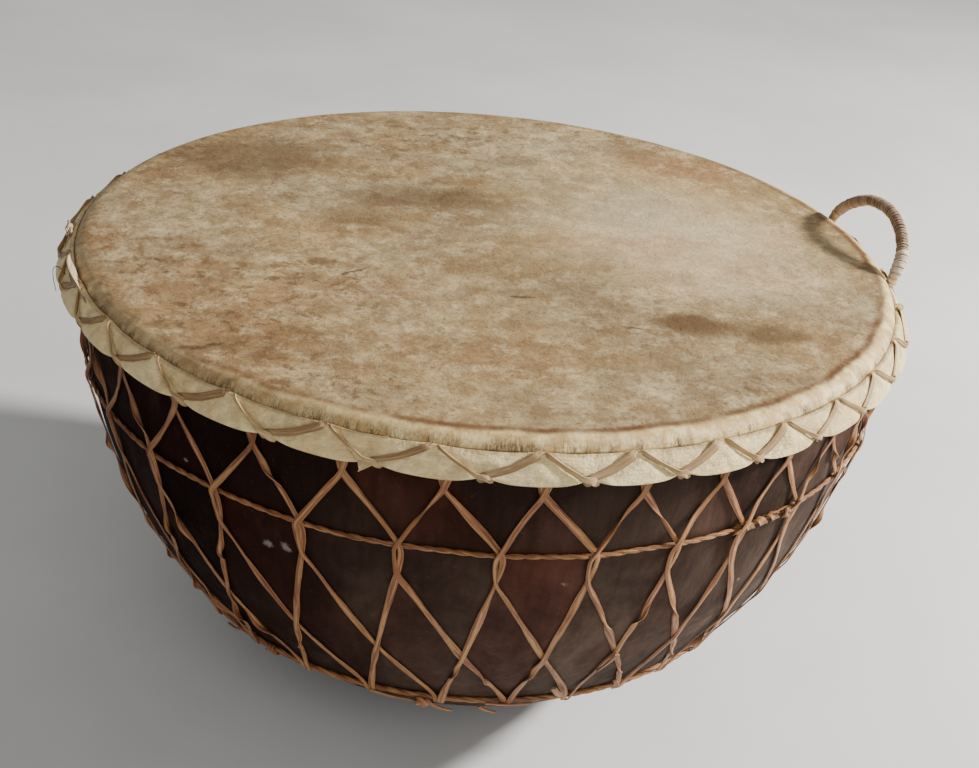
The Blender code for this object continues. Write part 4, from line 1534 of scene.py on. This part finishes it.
# %% [markdown]
# ### The collar's own oddities
#
# The strip of the collar ends near the front left, where its torn corner lies over the beginning. A grid is bent
# onto the collar, its left side is made ragged by noise, and it is given a thickness.

# %% The torn corner
TORN_LEFT, TORN_RIGHT = -117.0, -111.6


def collar_patch():
    """The torn end of the collar's strip: a grid bent onto the collar, with a ragged edge, given a thickness."""
    shape = bmesh.new()
    bmesh.ops.create_grid(shape, x_segments=18, y_segments=22, size=0.5)
    for name in ("along", "across", "strand", "share"):
        shape.verts.layers.float.new(name)
    shares = shape.verts.layers.float["share"]
    for vertex in shape.verts:
        right, down = vertex.co.x + 0.5, 0.5 - vertex.co.y
        ragged = 0.5 * wave(down * 5.0, 2.0) + 0.25 * wave(down * 14.0, 7.0)
        left_edge = TORN_LEFT + 3.0 * down + 0.9 * ragged
        corner = max(0.0, 1 - abs(down - 1.0) * 4) * max(0.0, 1 - right * 1.6)
        azimuth = radians(left_edge + (TORN_RIGHT - left_edge) * right)
        share = -0.06 + down * (1.14 + 0.24 * corner) + 0.03 * ragged
        lift = COLLAR + 0.0017 + 0.0016 * (1 - right) * (0.4 + 0.6 * down) + 0.0020 * corner - 0.0022 * right**2
        vertex.co = on_collar(azimuth, share, lift + 0.0004 * wave(*vertex.co * 9.0))[0]
        vertex[shares] = share
    bmesh.ops.recalc_face_normals(shape, faces=shape.faces)
    bmesh.ops.solidify(shape, geom=shape.faces[:], thickness=0.0009)
    bmesh.ops.recalc_face_normals(shape, faces=shape.faces)
    finish_piece("collar_torn_end", shape, white_rawhide, "white_rawhide", sharp_above=45)


collar_patch()

# %% [markdown]
# ### The curled edge
#
# A broad ribbon rolls over the top edge of the collar, a narrower one lies below it, and a knot with three ends ties
# the curl down. The stray fibre is the thinnest ribbon of all.

# %% The curled edge, its knot and the stray fibre
KNOT_AZIMUTH = radians(176.5)
# Each ribbon has its thickness, its strand and its waypoints of (azimuth in degrees, depth, distance out from the
# collar, width, roll).
CURLED_EDGE = (
    (
        0.0014,
        0.4,
        (-176.0, 0.0060, 0.0022, 0.0032, 0.0),
        (-173.5, 0.0022, 0.0030, 0.0054, 0.5),
        (-170.0, 0.0004, 0.0034, 0.0080, 0.9),
        (-166.5, 0.0026, 0.0034, 0.0104, 0.6),
        (-163.0, 0.0070, 0.0032, 0.0090, 0.2),
        (-160.0, 0.0135, 0.0030, 0.0040, 0.0),
    ),
    (
        0.0012,
        0.8,
        (-172.0, 0.0100, 0.0036, 0.0030, 0.0),
        (-169.0, 0.0085, 0.0044, 0.0046, 0.3),
        (-165.5, 0.0105, 0.0048, 0.0046, -0.2),
        (-163.0, 0.0150, 0.0050, 0.0030, 0.0),
    ),
)
EDGE_KNOT_ENDS = (
    (
        0.0012,
        0.6,
        (176.0, 0.0030, 0.0050, 0.0030, 0.0),
        (175.2, 0.0004, 0.0056, 0.0028, 0.4),
        (174.8, -0.0008, 0.0058, 0.0012, 0.8),
    ),
    (
        0.0010,
        0.7,
        (176.9, 0.0030, 0.0050, 0.0030, 0.0),
        (177.9, -0.0010, 0.0058, 0.0022, 0.4),
        (178.2, -0.0026, 0.0060, 0.0008, 0.8),
    ),
    (
        0.0013,
        0.5,
        (176.5, 0.0050, 0.0040, 0.0036, 0.0),
        (178.9, 0.0100, 0.0052, 0.0040, 0.2),
        (181.1, 0.0170, 0.0068, 0.0036, 0.0),
    ),
)
STRAY_FIBRE = (
    0.0005,
    0.1,
    (-172.5, 0.0120, 0.0060, 0.0005, 0.0),
    (-174.5, 0.0105, 0.0100, 0.0005, 0.0),
    (-176.0, 0.0150, 0.0135, 0.0005, 0.0),
    (-176.0, 0.0220, 0.0140, 0.0004, 0.0),
    (-175.0, 0.0300, 0.0125, 0.0003, 0.0),
)


def collar_ribbon(thickness, strand, *waypoints):
    """A ribbon beside the collar."""
    points = [Vector((radians(azimuth), depth, out)) for azimuth, depth, out, _, _ in waypoints]
    sizes = [Vector((width, thickness, roll)) for _, _, _, width, roll in waypoints]
    places = []
    for azimuth, depth, out in smooth_through(points, 8):
        places.append((at(COLLAR_RADIUS + out, azimuth, depth), Vector((cos(azimuth), sin(azimuth), 0.0))))
    return carry_section(stations_along(places, smooth_through(sizes, 8)), 10, strand, boxy=0.8, cup=0.3)


def dress_collar_left():
    out = Vector((cos(KNOT_AZIMUTH), sin(KNOT_AZIMUTH), 0.0))
    knot = knot_round(at(COLLAR_RADIUS + 0.0040, KNOT_AZIMUTH, 0.0030), out, 0.0074, 0.0026, 0.9)
    curled, ends = ([collar_ribbon(*ribbon) for ribbon in table] for table in (CURLED_EDGE, EDGE_KNOT_ENDS))
    finish_piece("collar_lip", gather([*curled, knot, *ends]), pale_wrap, "white_rawhide", sharp_above=60)
    finish_piece("stray_fibre", collar_ribbon(*STRAY_FIBRE), stained_wood, "thong_rawhide", sharp_above=80)


dress_collar_left()

# %% [markdown]
# ## The floor
#
# The drum stands on a plain pale floor. A wide disc is enough, with a faint unevenness so it doesn't look like
# paper.

# %% Lay the floor
FLOOR_RADIUS = 14.0


def lay_floor():
    shape = bmesh.new()
    bmesh.ops.create_circle(shape, cap_ends=True, radius=FLOOR_RADIUS, segments=96)
    mesh = bpy.data.meshes.new("floor")
    shape.to_mesh(mesh)
    shape.free()
    surface, tree, shader = start_material("pale_floor")
    grain = clouds(tree, own_place(tree), 3.0, detail=6.0)
    colour = mixed(tree, graded(tree, grain, 0.3, 0.7), paint(206, 206, 204), paint(216, 216, 214))
    fill(tree, shader, {"Base Color": colour, "Roughness": 0.75})
    mesh.materials.append(surface)
    ground = bpy.data.objects.new("floor", mesh)
    bpy.context.scene.collection.objects.link(ground)


lay_floor()
